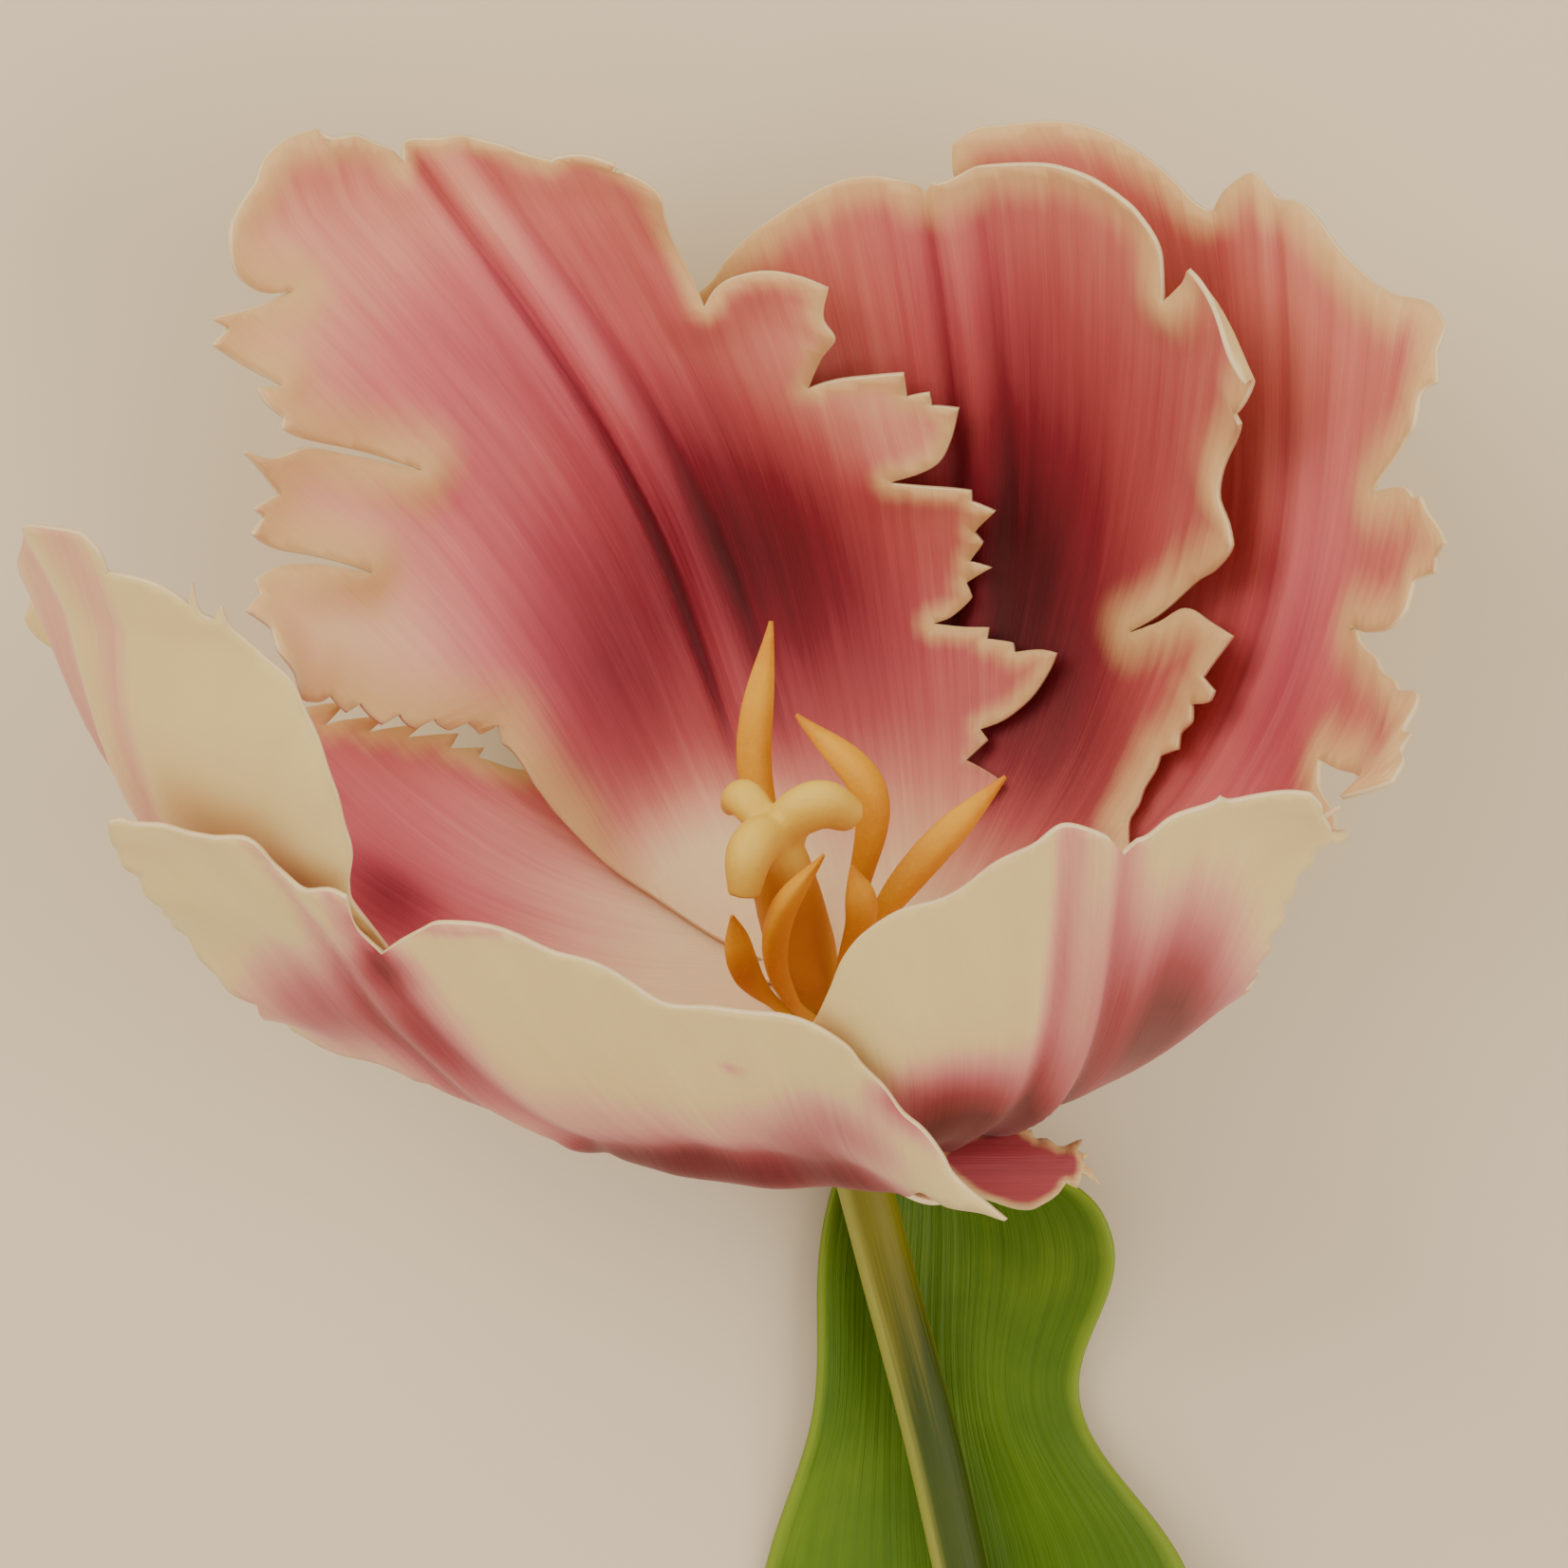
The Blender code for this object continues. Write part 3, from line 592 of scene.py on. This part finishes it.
def washed(washes, v, d):
    """Soft round washes laid over each other: each one's place, breadths and strength."""
    return sum((much * hump(v, at_v, tall) * hump(d, at_d, wide) for at_v, at_d, tall, wide, much in washes),
               np.zeros_like(d))


GROOVE = (0.0, 1.0, -0.8), (-2.4, 1.2, 0.55), (2.2, 1.3, 0.55), (-4.8, 1.0, -0.4)    # mm: place, breadth, height


def relief(t, v, u, edge):
    """How far a blade stands inward of the cup: the midrib's groove and its two ridges, and
    the lobes of the fringe that curl up."""
    d = u * half_width(t, v, u)
    off = d - through(t["crease"], v)
    fade = soft(v, 0.12, 0.35)
    groove = t["ridge"] * sum(height * hump(off, at, breadth) for at, breadth, height in GROOVE)
    folds = 0.14 * np.sin(0.7 * d + 2.0 * np.sin(2.4 * v * math.pi + t["seed"])) * soft(np.abs(off), 3.0, 9.0)
    lobes = 0.55 + 0.45 * np.sin(v * 34.0 + t["seed"] + np.sign(u))
    before, after = t["curl_in"]
    curl = np.where(u < 0, before, after) * (1 - soft(edge, 0.0, 7.0)) ** 2 * lobes * soft(v, 0.35, 0.6)
    return groove * fade + folds * fade + curl


def flush(t, v, u):
    """How red each place of a blade's inner face is, and how cool that red is."""
    d = u * half_width(t, v, u)
    body = 0.5 * soft(v, 0.08, 0.31) * (1 - 0.15 * soft(v, 0.75, 1.0))
    return body + washed(t["flush"], v, d), np.clip(washed(t["rosy"], v, d), 0, 1)


def blush(t, v, u):
    """How red each place of the outer face is: two bands along the crease, a deep flush low
    down that is partly the tepal's own colour and partly painted shade, and the tepal's own washes."""
    d = u * half_width(t, v, u)
    off = d - through(t["crease"], v)
    bands = (hump(off, -2.2, 1.3) + hump(off, 1.8, 1.6)) * soft(v, 0.25, 0.5)
    # The deep flush low down is partly the tepal's colour and partly painted shade.
    return 0.4 * t["ridge"] * bands + 0.45 * (1 - soft(v, 0.15, 0.4)) + washed(t["outside"], v, d)


CLAW = 0.3              # below this share of its length a blade has no pale margin
PALE_EDGE = 6.0         # the finish pales over this much of the mark named edge


def inner_finish(name, seed, ridge):
    """The inner face: cream claw and fringe, red that runs in streaks along the veins, and painted shade in the
    midrib's grooves with a painted highlight on the ridge between them.
    """
    skin = Finish(name)
    along, wide, edge, red, cool, off = (skin.mark(m) for m in ("along", "wide", "edge", "red", "cool", "off"))
    veins = skin.grain(skin.place(wide * 9.0, along * 0.03, seed), 1.0, 4.0, 0.55)
    fine = skin.grain(skin.place(wide * 46.0, along * 0.07, seed + 7.0), 1.0, 3.0, 0.6)
    blotch = skin.grain(skin.place(wide * 2.0, along * 0.05, seed + 3.0), 1.0, 2.0)
    drift = off + (veins - 0.5) * 1.6
    # crease paints the red darker in the midrib's groove and the groove beside it, and paler on the ridge between
    # them: painted shade and a painted highlight.
    crease = skin.groove(drift, 0.0, 1.3) + skin.groove(drift, -4.8, 1.4) * 0.55
    crease = (crease - skin.groove(drift, -2.4, 1.5) * 0.5) * skin.between(along, 16.0, 34.0)
    level = red + (veins - 0.5) * 0.16 + (fine - 0.5) * 0.1 + (blotch - 0.5) * 0.12 + crease * (0.19 * ridge)
    warm = skin.ramp(level, (0.0, rgb(254, 226, 178)), (0.2, rgb(238, 180, 148)), (0.4, rgb(204, 126, 112)),
                     (0.6, rgb(170, 74, 76)), (0.8, rgb(120, 22, 36)), (1.0, rgb(72, 2, 10)))
    rosy = skin.ramp(level, (0.0, rgb(254, 226, 190)), (0.2, rgb(246, 184, 172)), (0.4, rgb(218, 122, 134)),
                     (0.6, rgb(174, 74, 94)), (0.8, rgb(120, 22, 46)), (1.0, rgb(72, 2, 16)))
    petal = skin.blend(cool, warm, rosy)
    pale = 1.0 - skin.between(edge + (veins - 0.5) * 3.0 + (blotch - 0.5) * 2.0, 0.3, PALE_EDGE)
    petal = skin.blend(pale * 0.85, petal, skin.blend(fine, rgba(210, 174, 114), rgba(228, 198, 140)))
    height = veins * 0.5 + fine * 0.5 - crease * (0.8 * ridge)
    return skin.done(
        Base_Color=petal, Roughness=0.48 + 0.12 * fine, Normal=skin.bump(height, 0.0003, 0.5),
        Specular_IOR_Level=0.3, Subsurface_Weight=0.25, Subsurface_Radius=(0.0022, 0.0009, 0.0006),
        Subsurface_Scale=1.0, Sheen_Weight=0.12, Sheen_Roughness=0.4)


def outer_finish(name, seed):
    """The outer face: cream with a breath of green, two rose bands along the midrib and a
    crimson flush low down, partly its own colour and partly painted shade."""
    skin = Finish(name)
    along, wide, blush = (skin.mark(m) for m in ("along", "wide", "blush"))
    veins = skin.grain(skin.place(wide * 7.0, along * 0.025, seed), 1.0, 4.0, 0.55)
    fine = skin.grain(skin.place(wide * 40.0, along * 0.06, seed + 5.0), 1.0, 3.0, 0.6)
    blotch = skin.grain(skin.place(wide * 1.6, along * 0.04, seed + 2.0), 1.0, 2.0)
    cream = skin.blend(blotch, rgba(206, 187, 122), rgba(230, 204, 146))
    level = blush + (veins - 0.5) * 0.2 + (fine - 0.5) * 0.1 + (blotch - 0.5) * 0.1
    petal = skin.ramp(level, (0.0, rgb(222, 196, 138)), (0.25, rgb(212, 156, 132)), (0.5, rgb(182, 100, 104)),
                      (0.75, rgb(146, 50, 60)), (1.0, rgb(100, 16, 24)))
    petal = skin.blend(skin.between(level, 0.02, 0.28), cream, petal)
    return skin.done(
        Base_Color=petal, Roughness=0.5 + 0.1 * fine, Normal=skin.bump(veins * 0.6 + fine * 0.4, 0.00025, 0.4),
        Specular_IOR_Level=0.3, Subsurface_Weight=0.25, Subsurface_Radius=(0.0022, 0.0009, 0.0006),
        Subsurface_Scale=1.0, Sheen_Weight=0.12, Sheen_Roughness=0.4)


def rim_finish():
    """The cut of the margin: pale and waxy."""
    skin = Finish("tepal_rim")
    spotted = skin.grain(skin.place(skin.mark("along") * 0.5, skin.mark("wide") * 9.0), 1.0)
    return skin.done(Base_Color=skin.blend(spotted, rgba(216, 190, 140), rgba(236, 214, 176)), Roughness=0.5)


rim = rim_finish()
outer = outer_finish("tepal_outer", 4.0)
for tepal, t in TEPALS.items():
    line = pattern(t, SEEN_LIFT if t["face"] > 0 else 0.0)
    low, high = line.min(0), line.max(0)
    rows, columns = (int((high[k] - low[k]) / POINTS_APART) for k in (0, 1))
    lattice = np.stack(np.meshgrid(np.linspace(low[0], high[0], rows), np.linspace(low[1], high[1], columns),
                                   indexing="ij"), -1)
    lattice[1::2, :, 1] += POINTS_APART / 2
    lattice = lattice.reshape(-1, 2)
    off_edge = np.sqrt(((lattice[:, None] - line) ** 2).sum(-1).min(1))
    flat, faces = filled(line, lattice[off_edge > POINTS_APART * 0.45])
    v, u = flat[:, 0] / t["length"], flat[:, 1] / SPREAD
    around = blade_points(t, line[:, 0] / t["length"], line[:, 1] / SPREAD)
    plain = blade_points(t, v, u)
    edge = np.sqrt(((plain[:, None] - around) ** 2).sum(-1).min(1))
    edge = np.where(v < CLAW, edge + 30 * (CLAW - v), edge)
    solid = blade_points(t, v, u, SET_IN + relief(t, v, u, edge))
    solid[:, 2] = np.maximum(solid[:, 2], 0.0)

    mesh = bpy.data.meshes.new(tepal)
    mesh.from_pydata((solid * MM).tolist(), [], faces.tolist())
    middle = mesh.polygons[len(mesh.polygons) // 2]
    at = np.array(middle.center) / MM
    if np.array(middle.normal) @ (at - on_axis(np.array((at - RECEPTACLE) @ UP))) < 0:
        mesh.flip_normals()
    red, cool = flush(t, v, u)
    d = u * half_width(t, v, u)
    before, after = t["pale"]
    keep_marks(mesh, along=v * t["length"], wide=d / 10.0 / np.maximum(0.35 + v * 0.65, 0.3), red=red, cool=cool,
               off=d - through(t["crease"], v), blush=blush(t, v, u),
               edge=edge * PALE_EDGE / (before + (after - before) * soft(u, -0.3, 0.3)))
    thin_blade(f"{tepal}_blade", mesh, tepal, inner_finish(f"{tepal}_inner", t["seed"], t["ridge"]))

# The low left tepal's lower corner has rolled right over beside the stem, so that its red
# inner face and toothed margin look up. It is the same thin blade, seen from within.
LOBE = [(985, 1212), (1005, 1204), (1031, 1194), (1069, 1186), (1076, 1194), (1085, 1192), (1090, 1203), (1102, 1203),
        (1112, 1210), (1140, 1204), (1134, 1213), (1147, 1216), (1139, 1225), (1159, 1246), (1138, 1236), (1134, 1248),
        (1122, 1244), (1107, 1260), (1085, 1271), (1042, 1262), (1009, 1243), (990, 1228)]
LOBE_HEIGHT = 33.0      # mm over the table, where it begins
LOBE_ARCH, LOBE_DROOP, LOBE_RIPPLE = 2.2, 3.0, 0.35
LOBE_POINTS = 9.0       # px between the points of its mesh

line = rounded(np.array([*LOBE, LOBE[0]], float), 6.0)[:-1]
low, high = line.min(0), line.max(0)
lattice = np.stack(np.meshgrid(*(np.arange(low[k], high[k], LOBE_POINTS) for k in (0, 1)), indexing="ij"), -1)
lattice = lattice.reshape(-1, 2)
lattice = lattice[((lattice[:, None] - line) ** 2).sum(-1).min(1) > 30]
flat, faces = filled(line, lattice)
edge = np.sqrt(((flat[:, None] - line) ** 2).sum(-1).min(1)) * PICTURE_MM / PICTURE
share = (flat[:, 0] - low[0]) / (high[0] - low[0])
up = (high[1] - flat[:, 1]) / (high[1] - low[1])
z = LOBE_HEIGHT + LOBE_ARCH * np.sin(math.pi * up) - LOBE_DROOP * share ** 2 + LOBE_RIPPLE * np.sin(22 * up) * share
px = PICTURE_MM / PICTURE * (CAMERA_OVER - (z - RECEPTACLE[2])) / CAMERA_OVER
at = np.stack([CAMERA_AT[0] + (flat[:, 0] - PICTURE / 2) * px, CAMERA_AT[1] - (flat[:, 1] - PICTURE / 2) * px, z], -1)
mesh = bpy.data.meshes.new("tepal_front_left_lobe")
mesh.from_pydata((at * MM).tolist(), [], faces.tolist())
if mesh.polygons[0].normal.z > 0:
    mesh.flip_normals()
even = np.ones_like(share)
keep_marks(mesh, along=share * 14, wide=up * 1.2, edge=edge * 7, red=0.76 - 0.1 * share, cool=0.2 * even,
           off=20 * even, blush=0.3 * even)
thin_blade("tepal_front_left_lobe", mesh, "tepal_front_left", bpy.data.materials["tepal_front_left_inner"])

# Stem with the receptacle at its top. A round juicy stalk with a waxy bloom, olive along
# its upper side and paler down its flanks, a painted sheen of the wax; the bloom's base
# grows out of it and its lower end is cut flat.
STEM_PATH = [on_axis(2.0), on_axis(-2.0), on_axis(-5.5), (11.0, -40.0, 7.6), (14.0, -51.5, 5.2), (19.0, -71.0, 4.7),
             (24.0, -97.0, 4.7), (28.0, -135.0, 4.7), (30.0, -177.0, 5.12), (31.0, -240.0, 2.73)]
STEM_RADII = [3.1, 3.3, 2.35, 2.35, 2.35, 2.35, 2.4, 2.5, 2.6, 2.7]
STEM_RINGS, STEM_SIDES = 240, 40
SHARP_FROM = 50.0       # degrees between faces


def tube(path, radii, steps, sides, flat=1.0, lobes=0, lobe_depth=0.0):
    """Points, faces and marks of a round body along a smooth path: how far along each point
    is, and how far up and to the side of the middle."""
    t = np.linspace(0, 1, steps + 1)
    places = np.linspace(0, 1, len(path))
    line = np.stack([through(list(zip(places, np.array([tuple(p) for p in path])[:, k])), t) for k in range(3)], -1)
    width = through(list(zip(np.linspace(0, 1, len(radii)), radii)), t)
    way = np.gradient(line, axis=0)
    way /= np.linalg.norm(way, axis=1)[:, None]
    turn = 2 * math.pi * np.arange(sides) / sides
    over = np.array([0.3, 0.1, 1.0])
    rings = []
    for point, along, r in zip(line, way, width):
        over = over - along * (over @ along)
        over /= np.linalg.norm(over)
        beside = np.cross(along, over)
        r = r * (1 + lobe_depth * (np.cos(lobes * turn) - 1))
        rings.append(point + (r * np.cos(turn))[:, None] * beside + flat * (r * np.sin(turn))[:, None] * over)
    faces = [(i * sides + j, i * sides + (j + 1) % sides, (i + 1) * sides + (j + 1) % sides, (i + 1) * sides + j)
             for i in range(steps) for j in range(sides)]
    faces += [tuple(reversed(range(sides))), tuple(steps * sides + j for j in range(sides))]
    marks = dict(down=np.repeat(t, sides), over=np.tile(np.sin(turn), steps + 1),
                 beside=np.tile(np.cos(turn), steps + 1))
    return np.concatenate(rings), faces, marks


def to_mesh(name, points, faces, marks):
    """A smooth mesh of points in mm, sharp where its faces meet at a steep angle."""
    mesh = bpy.data.meshes.new(name)
    mesh.from_pydata((points * MM).tolist(), [], faces)
    keep_marks(mesh, **marks)
    work = bmesh.new()
    work.from_mesh(mesh)
    bmesh.ops.recalc_face_normals(work, faces=work.faces)
    work.to_mesh(mesh)
    work.free()
    mesh.polygons.foreach_set("use_smooth", np.ones(len(mesh.polygons), bool))
    mesh.set_sharp_from_angle(angle=math.radians(SHARP_FROM))
    return mesh


stalk = Finish("stem_skin")
down, over, beside = (stalk.mark(m) for m in ("down", "over", "beside"))
body = stalk.node("ShaderNodeTexCoord", {}, {}, "Object")
fibres = stalk.grain(stalk.place(beside * 7.0, over * 7.0, down * 9.0), 1.0, 4.0)
mottle = stalk.grain(body, 160.0, 3.0)
# Paler down both flanks than along the top: a painted sheen of the waxy bloom.
painted_flank_sheen = 1.0 - stalk.between(over + (fibres - 0.5) * 0.3, 0.2, 0.72)
olive = stalk.ramp(down * 1.0 + (fibres - 0.5) * 0.2, (0.0, rgb(122, 112, 8)), (0.42, rgb(110, 104, 2)),
                   (0.52, rgb(40, 58, 0)), (1.0, rgb(70, 92, 4)))
green = stalk.blend(painted_flank_sheen * 0.62, olive, rgba(176, 176, 84))
stem_skin = stalk.done(
    Base_Color=stalk.blend(mottle * 0.15, green, rgba(104, 112, 16)), Roughness=0.42 + mottle * 0.16,
    Normal=stalk.bump(fibres, 0.0002, 0.5), Specular_IOR_Level=0.3)
points, faces, marks = tube(STEM_PATH, STEM_RADII, STEM_RINGS, STEM_SIDES)
new_piece("stem_stalk", to_mesh("stem_stalk", points, faces, marks), "stem", "stem", stem_skin)

# Leaf. One long fleshy blade that clasps the stem at its foot and lies under it; parallel
# veins run its whole length, and its margins wave.
LEAF_MARKS = [
    [(26.0, -178.0, 5.6), (28.0, -178.6, 1.75), (32.0, -178.6, 1.75), (34.0, -178.0, 5.9)],
    [(16.0, -145.0, 5.0), (23.0, -145.0, 0.0), (33.0, -145.0, 0.0), (42.0, -145.0, 7.0)],
    [(6.0, -111.0, 1.8), (17.0, -111.0, 0.0), (30.0, -111.0, 0.0), (44.0, -111.0, 5.0)],
    [(4.0, -83.0, 0.0), (14.0, -83.0, 0.0), (26.0, -83.0, 0.0), (39.5, -83.0, 9.0)],
    [(7.5, -63.0, 2.6), (14.0, -62.0, 0.2), (22.0, -62.0, 0.2), (32.0, -63.0, 2.0)],
    [(10.0, -47.0, 2.4), (15.0, -47.0, 0.3), (21.5, -47.0, 0.4), (31.0, -47.0, 6.0)],
    [(14.0, -29.0, 1.0), (16.5, -28.0, 0.4), (19.5, -28.0, 0.5), (22.5, -29.0, 1.6)],
]
LEAF_ROWS, LEAF_COLUMNS = 200, 64
LEAF_TOP = 0.9          # its upper face over the lines above
LEAF_SHEET = 0.6
LEAF_VEINS = 24
LEAF_WAVES = [          # height, length and start in mm, and how far out it begins
    (1.6, 27.2, 57.3, 0.5),     # right margin
    (0.8, 33.0, 40.0, 0.6),     # left margin
]
LEAF_NARROWED = 7.0     # mm off its right side towards the tip

marks = np.array(LEAF_MARKS)
v, u = np.linspace(0, 1, LEAF_ROWS + 1), np.linspace(0, 1, LEAF_COLUMNS + 1)
lines = np.stack([[through(list(zip(np.linspace(0, 1, len(marks)), marks[:, j, k])), v) for k in range(3)]
                  for j in range(4)])
grid = np.stack([[through(list(zip(np.linspace(0, 1, 4), lines[:, k, i])), u) for k in range(3)]
                 for i in range(LEAF_ROWS + 1)])
grid = np.transpose(grid, (0, 2, 1))
grid[..., 2] = np.maximum(grid[..., 2], 0.0) + LEAF_TOP
for side, (high, length, start, inner) in zip((u, 1 - u), LEAF_WAVES):
    grid[..., 0] += high * np.sin((grid[..., 1] + start) / length * 2 * math.pi) * soft(side, inner, 1.0)
grid[..., 0] -= LEAF_NARROWED * soft(grid[..., 1], -47.0, -37.0) * soft(u, 0.5, 1.0)
fold = -0.12 * hump(u - 0.5, 0.0, 0.03) + 0.05 * np.cos(2 * math.pi * LEAF_VEINS * u)
grid[..., 2] += fold * soft(v, 0.0, 0.1)[:, None] * soft(1 - v, 0.0, 0.1)[:, None] - 0.05
faces = [(i * (LEAF_COLUMNS + 1) + j, i * (LEAF_COLUMNS + 1) + j + 1, (i + 1) * (LEAF_COLUMNS + 1) + j + 1,
          (i + 1) * (LEAF_COLUMNS + 1) + j) for i in range(LEAF_ROWS) for j in range(LEAF_COLUMNS)]
mesh = to_mesh("leaf_blade", grid.reshape(-1, 3), faces,
               dict(down=np.repeat(v, LEAF_COLUMNS + 1), wide=np.tile(u, LEAF_ROWS + 1)))
if mesh.polygons[0].normal.z < 0:
    mesh.flip_normals()
blade = Finish("leaf_skin")
down, wide = blade.mark("down"), blade.mark("wide")
veins = blade.grain(blade.place(wide * 60.0, down * 3.0), 1.0, 4.0, 0.6)
wash = blade.grain(blade.place(wide * 3.0, down * 8.0, 4.0), 1.0, 3.0)
edge = blade.node("ShaderNodeMath", {"operation": "ABSOLUTE"}, {0: wide - 0.5})
green = blade.ramp(veins * 0.25 + wash * 0.6 + 0.08, (0.25, rgb(54, 88, 0)), (0.5, rgb(76, 108, 2)),
                   (0.75, rgb(104, 130, 14)))
# Paler green along both margins: a painted edge highlight.
green = blade.blend(blade.between(edge + (wash - 0.5) * 0.03, 0.455, 0.5), green, rgba(116, 140, 30))
leaf_skin = blade.done(
    Base_Color=green, Roughness=0.4 + 0.16 * veins, Normal=blade.bump(veins, 0.0003, 0.6), Specular_IOR_Level=0.25)
piece = new_piece("leaf_blade", mesh, "leaf", "leaf", leaf_skin)
thick = piece.modifiers.new("thickness", "SOLIDIFY")
thick.thickness, thick.offset = LEAF_SHEET * MM, -1.0

# Stamens. Six: a pale filament rises from the receptacle and widens into a long golden
# anther with a seam down each side, dusted with pollen.
STAMENS = {     # azimuth, radius and height along each
    "stamen_1": [(95, 2.7, 2.6), (94, 7, 10), (90, 14, 18), (78, 20.8, 27)],
    "stamen_2": [(30, 2.7, 2.6), (35, 7, 10), (40, 11.3, 17.5), (73, 15, 21.5)],
    "stamen_3": [(355, 2.7, 2.6), (5, 6.5, 9), (12, 12, 13), (18, 21, 16)],
    "stamen_4": [(258, 2.7, 2.6), (252, 6.2, 9), (250, 7, 15), (264, 6.6, 20.5), (300, 7.2, 25)],
    "stamen_5": [(205, 2.7, 2.6), (210, 5, 8), (215, 6.3, 13), (214, 6, 18)],
    "stamen_6": [(310, 2.7, 2.6), (305, 4.8, 8.5), (322, 6.8, 15), (330, 6.5, 20)],
}
STAMEN_RADII = 0.55, 0.6, 1.1, 1.5, 1.4, 0.2    # evenly from the foot to the tip
ANTHER_FLAT, SEAM_DEPTH = 0.75, 0.05            # shares of the radius

pollen = Finish("stamen_skin")
down = pollen.mark("down")
body = pollen.node("ShaderNodeTexCoord", {}, {}, "Object")
dust, drift = pollen.grain(body, 2600.0, 2.0), pollen.grain(body, 420.0, 3.0)
gold = pollen.ramp(down + (drift - 0.5) * 0.25, (0.0, rgb(220, 182, 60)), (0.3, rgb(218, 158, 22)),
                   (0.6, rgb(212, 148, 14)), (0.85, rgb(228, 170, 34)), (1.0, rgb(204, 130, 12)))
stamen_skin = pollen.done(
    Base_Color=pollen.blend(pollen.between(dust, 0.5, 0.75) * 0.3, gold, rgba(234, 180, 50)),
    Roughness=0.52 + 0.2 * dust, Normal=pollen.bump(dust * 0.6 + drift * 0.4, 0.00015, 0.6), Specular_IOR_Level=0.35)
for stamen, at in STAMENS.items():
    path = [on_axis(height, radius, azimuth) for azimuth, radius, height in at]
    points, faces, marks = tube(path, STAMEN_RADII, 70, 28, ANTHER_FLAT, 4, SEAM_DEPTH)
    new_piece(f"{stamen}_anther", to_mesh(stamen, points, faces, marks), stamen, "stamen", stamen_skin)

# Pistil. The three-sided ovary and the stigma's three drooping cream lobes are one soft
# body, here melted together and smoothed.
OVARY = [(1.8, 2.3), (1.8, 4.0), (2.7, 7.0), (2.9, 12.0), (2.7, 17.0), (2.2, 21.0), (1.6, 22.5)]     # radius, height
OVARY_RINGS, OVARY_SIDES, OVARY_FLUTE = 30, 24, 0.05
STIGMA_LOBES = (0, 1.0, 1.0), (118, 0.72, 0.85), (238, 1.05, 1.0)       # azimuth, breadth and reach of each
STIGMA_LINE = (0.6, 20.0), (1.6, 23.6), (4.4, 24.6), (6.8, 22.2)        # radius and height along a lobe
STIGMA_RADII = 1.4, 2.1, 2.3, 1.5
MELTED = 0.28           # grain of the melted body

turn = 360.0 / OVARY_SIDES * np.arange(OVARY_SIDES)
heights = np.linspace(OVARY[0][1], OVARY[-1][1], OVARY_RINGS)
radii = through([(h, r) for r, h in OVARY], heights)
points = np.concatenate([
    on_axis(np.full(OVARY_SIDES, h), r * (1 + OVARY_FLUTE * np.cos(np.radians(3 * (turn - 60)))), turn)
    for h, r in zip(heights, radii)])
faces = [(i * OVARY_SIDES + j, i * OVARY_SIDES + (j + 1) % OVARY_SIDES,
          (i + 1) * OVARY_SIDES + (j + 1) % OVARY_SIDES, (i + 1) * OVARY_SIDES + j)
         for i in range(OVARY_RINGS - 1) for j in range(OVARY_SIDES)]
faces += [tuple(reversed(range(OVARY_SIDES))), tuple((OVARY_RINGS - 1) * OVARY_SIDES + j for j in range(OVARY_SIDES))]
for azimuth, breadth, reach in STIGMA_LOBES:
    path = [on_axis(h, r * (reach if r > 1 else 1), azimuth) for r, h in STIGMA_LINE]
    more, more_faces, _ = tube(path, [r * breadth for r in STIGMA_RADII], 24, 28, 1.0, 2, 0.09)
    faces += [tuple(k + len(points) for k in f) for f in more_faces]
    points = np.concatenate([points, more])
mesh = to_mesh("pistil_body", points, faces, {})
heart = Finish("pistil_skin")
body = heart.node("ShaderNodeTexCoord", {}, {}, "Object")
papillae, drift = heart.grain(body, 1500.0, 3.0), heart.grain(body, 260.0, 3.0)
lobe = heart.between(heart.mark("up"), 17.0, 21.5)
flesh = heart.blend(lobe, rgba(196, 134, 24), rgba(236, 204, 84))
pistil_skin = heart.done(
    Base_Color=heart.blend(drift * 0.5, flesh, rgba(216, 170, 44)), Roughness=0.42 + 0.2 * papillae,
    Normal=heart.bump(papillae * 0.5 + drift * 0.5, 0.0003, 0.5), Specular_IOR_Level=0.4)
piece = new_piece("pistil_body", mesh, "pistil", "pistil", pistil_skin)
melt = piece.modifiers.new("melt", "REMESH")
melt.mode, melt.voxel_size, melt.use_smooth_shade = "VOXEL", MELTED * MM, True
ease = piece.modifiers.new("ease", "SMOOTH")
ease.factor, ease.iterations = 0.5, 6
bpy.context.view_layer.update()
baked = bpy.data.meshes.new_from_object(piece.evaluated_get(bpy.context.evaluated_depsgraph_get()))
piece.modifiers.clear()
piece.data = baked
at = np.zeros(len(baked.vertices) * 3, np.float32)
baked.vertices.foreach_get("co", at)
height = (at.reshape(-1, 3) / MM - RECEPTACLE) @ UP
keep_marks(baked, up=height)

low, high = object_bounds()
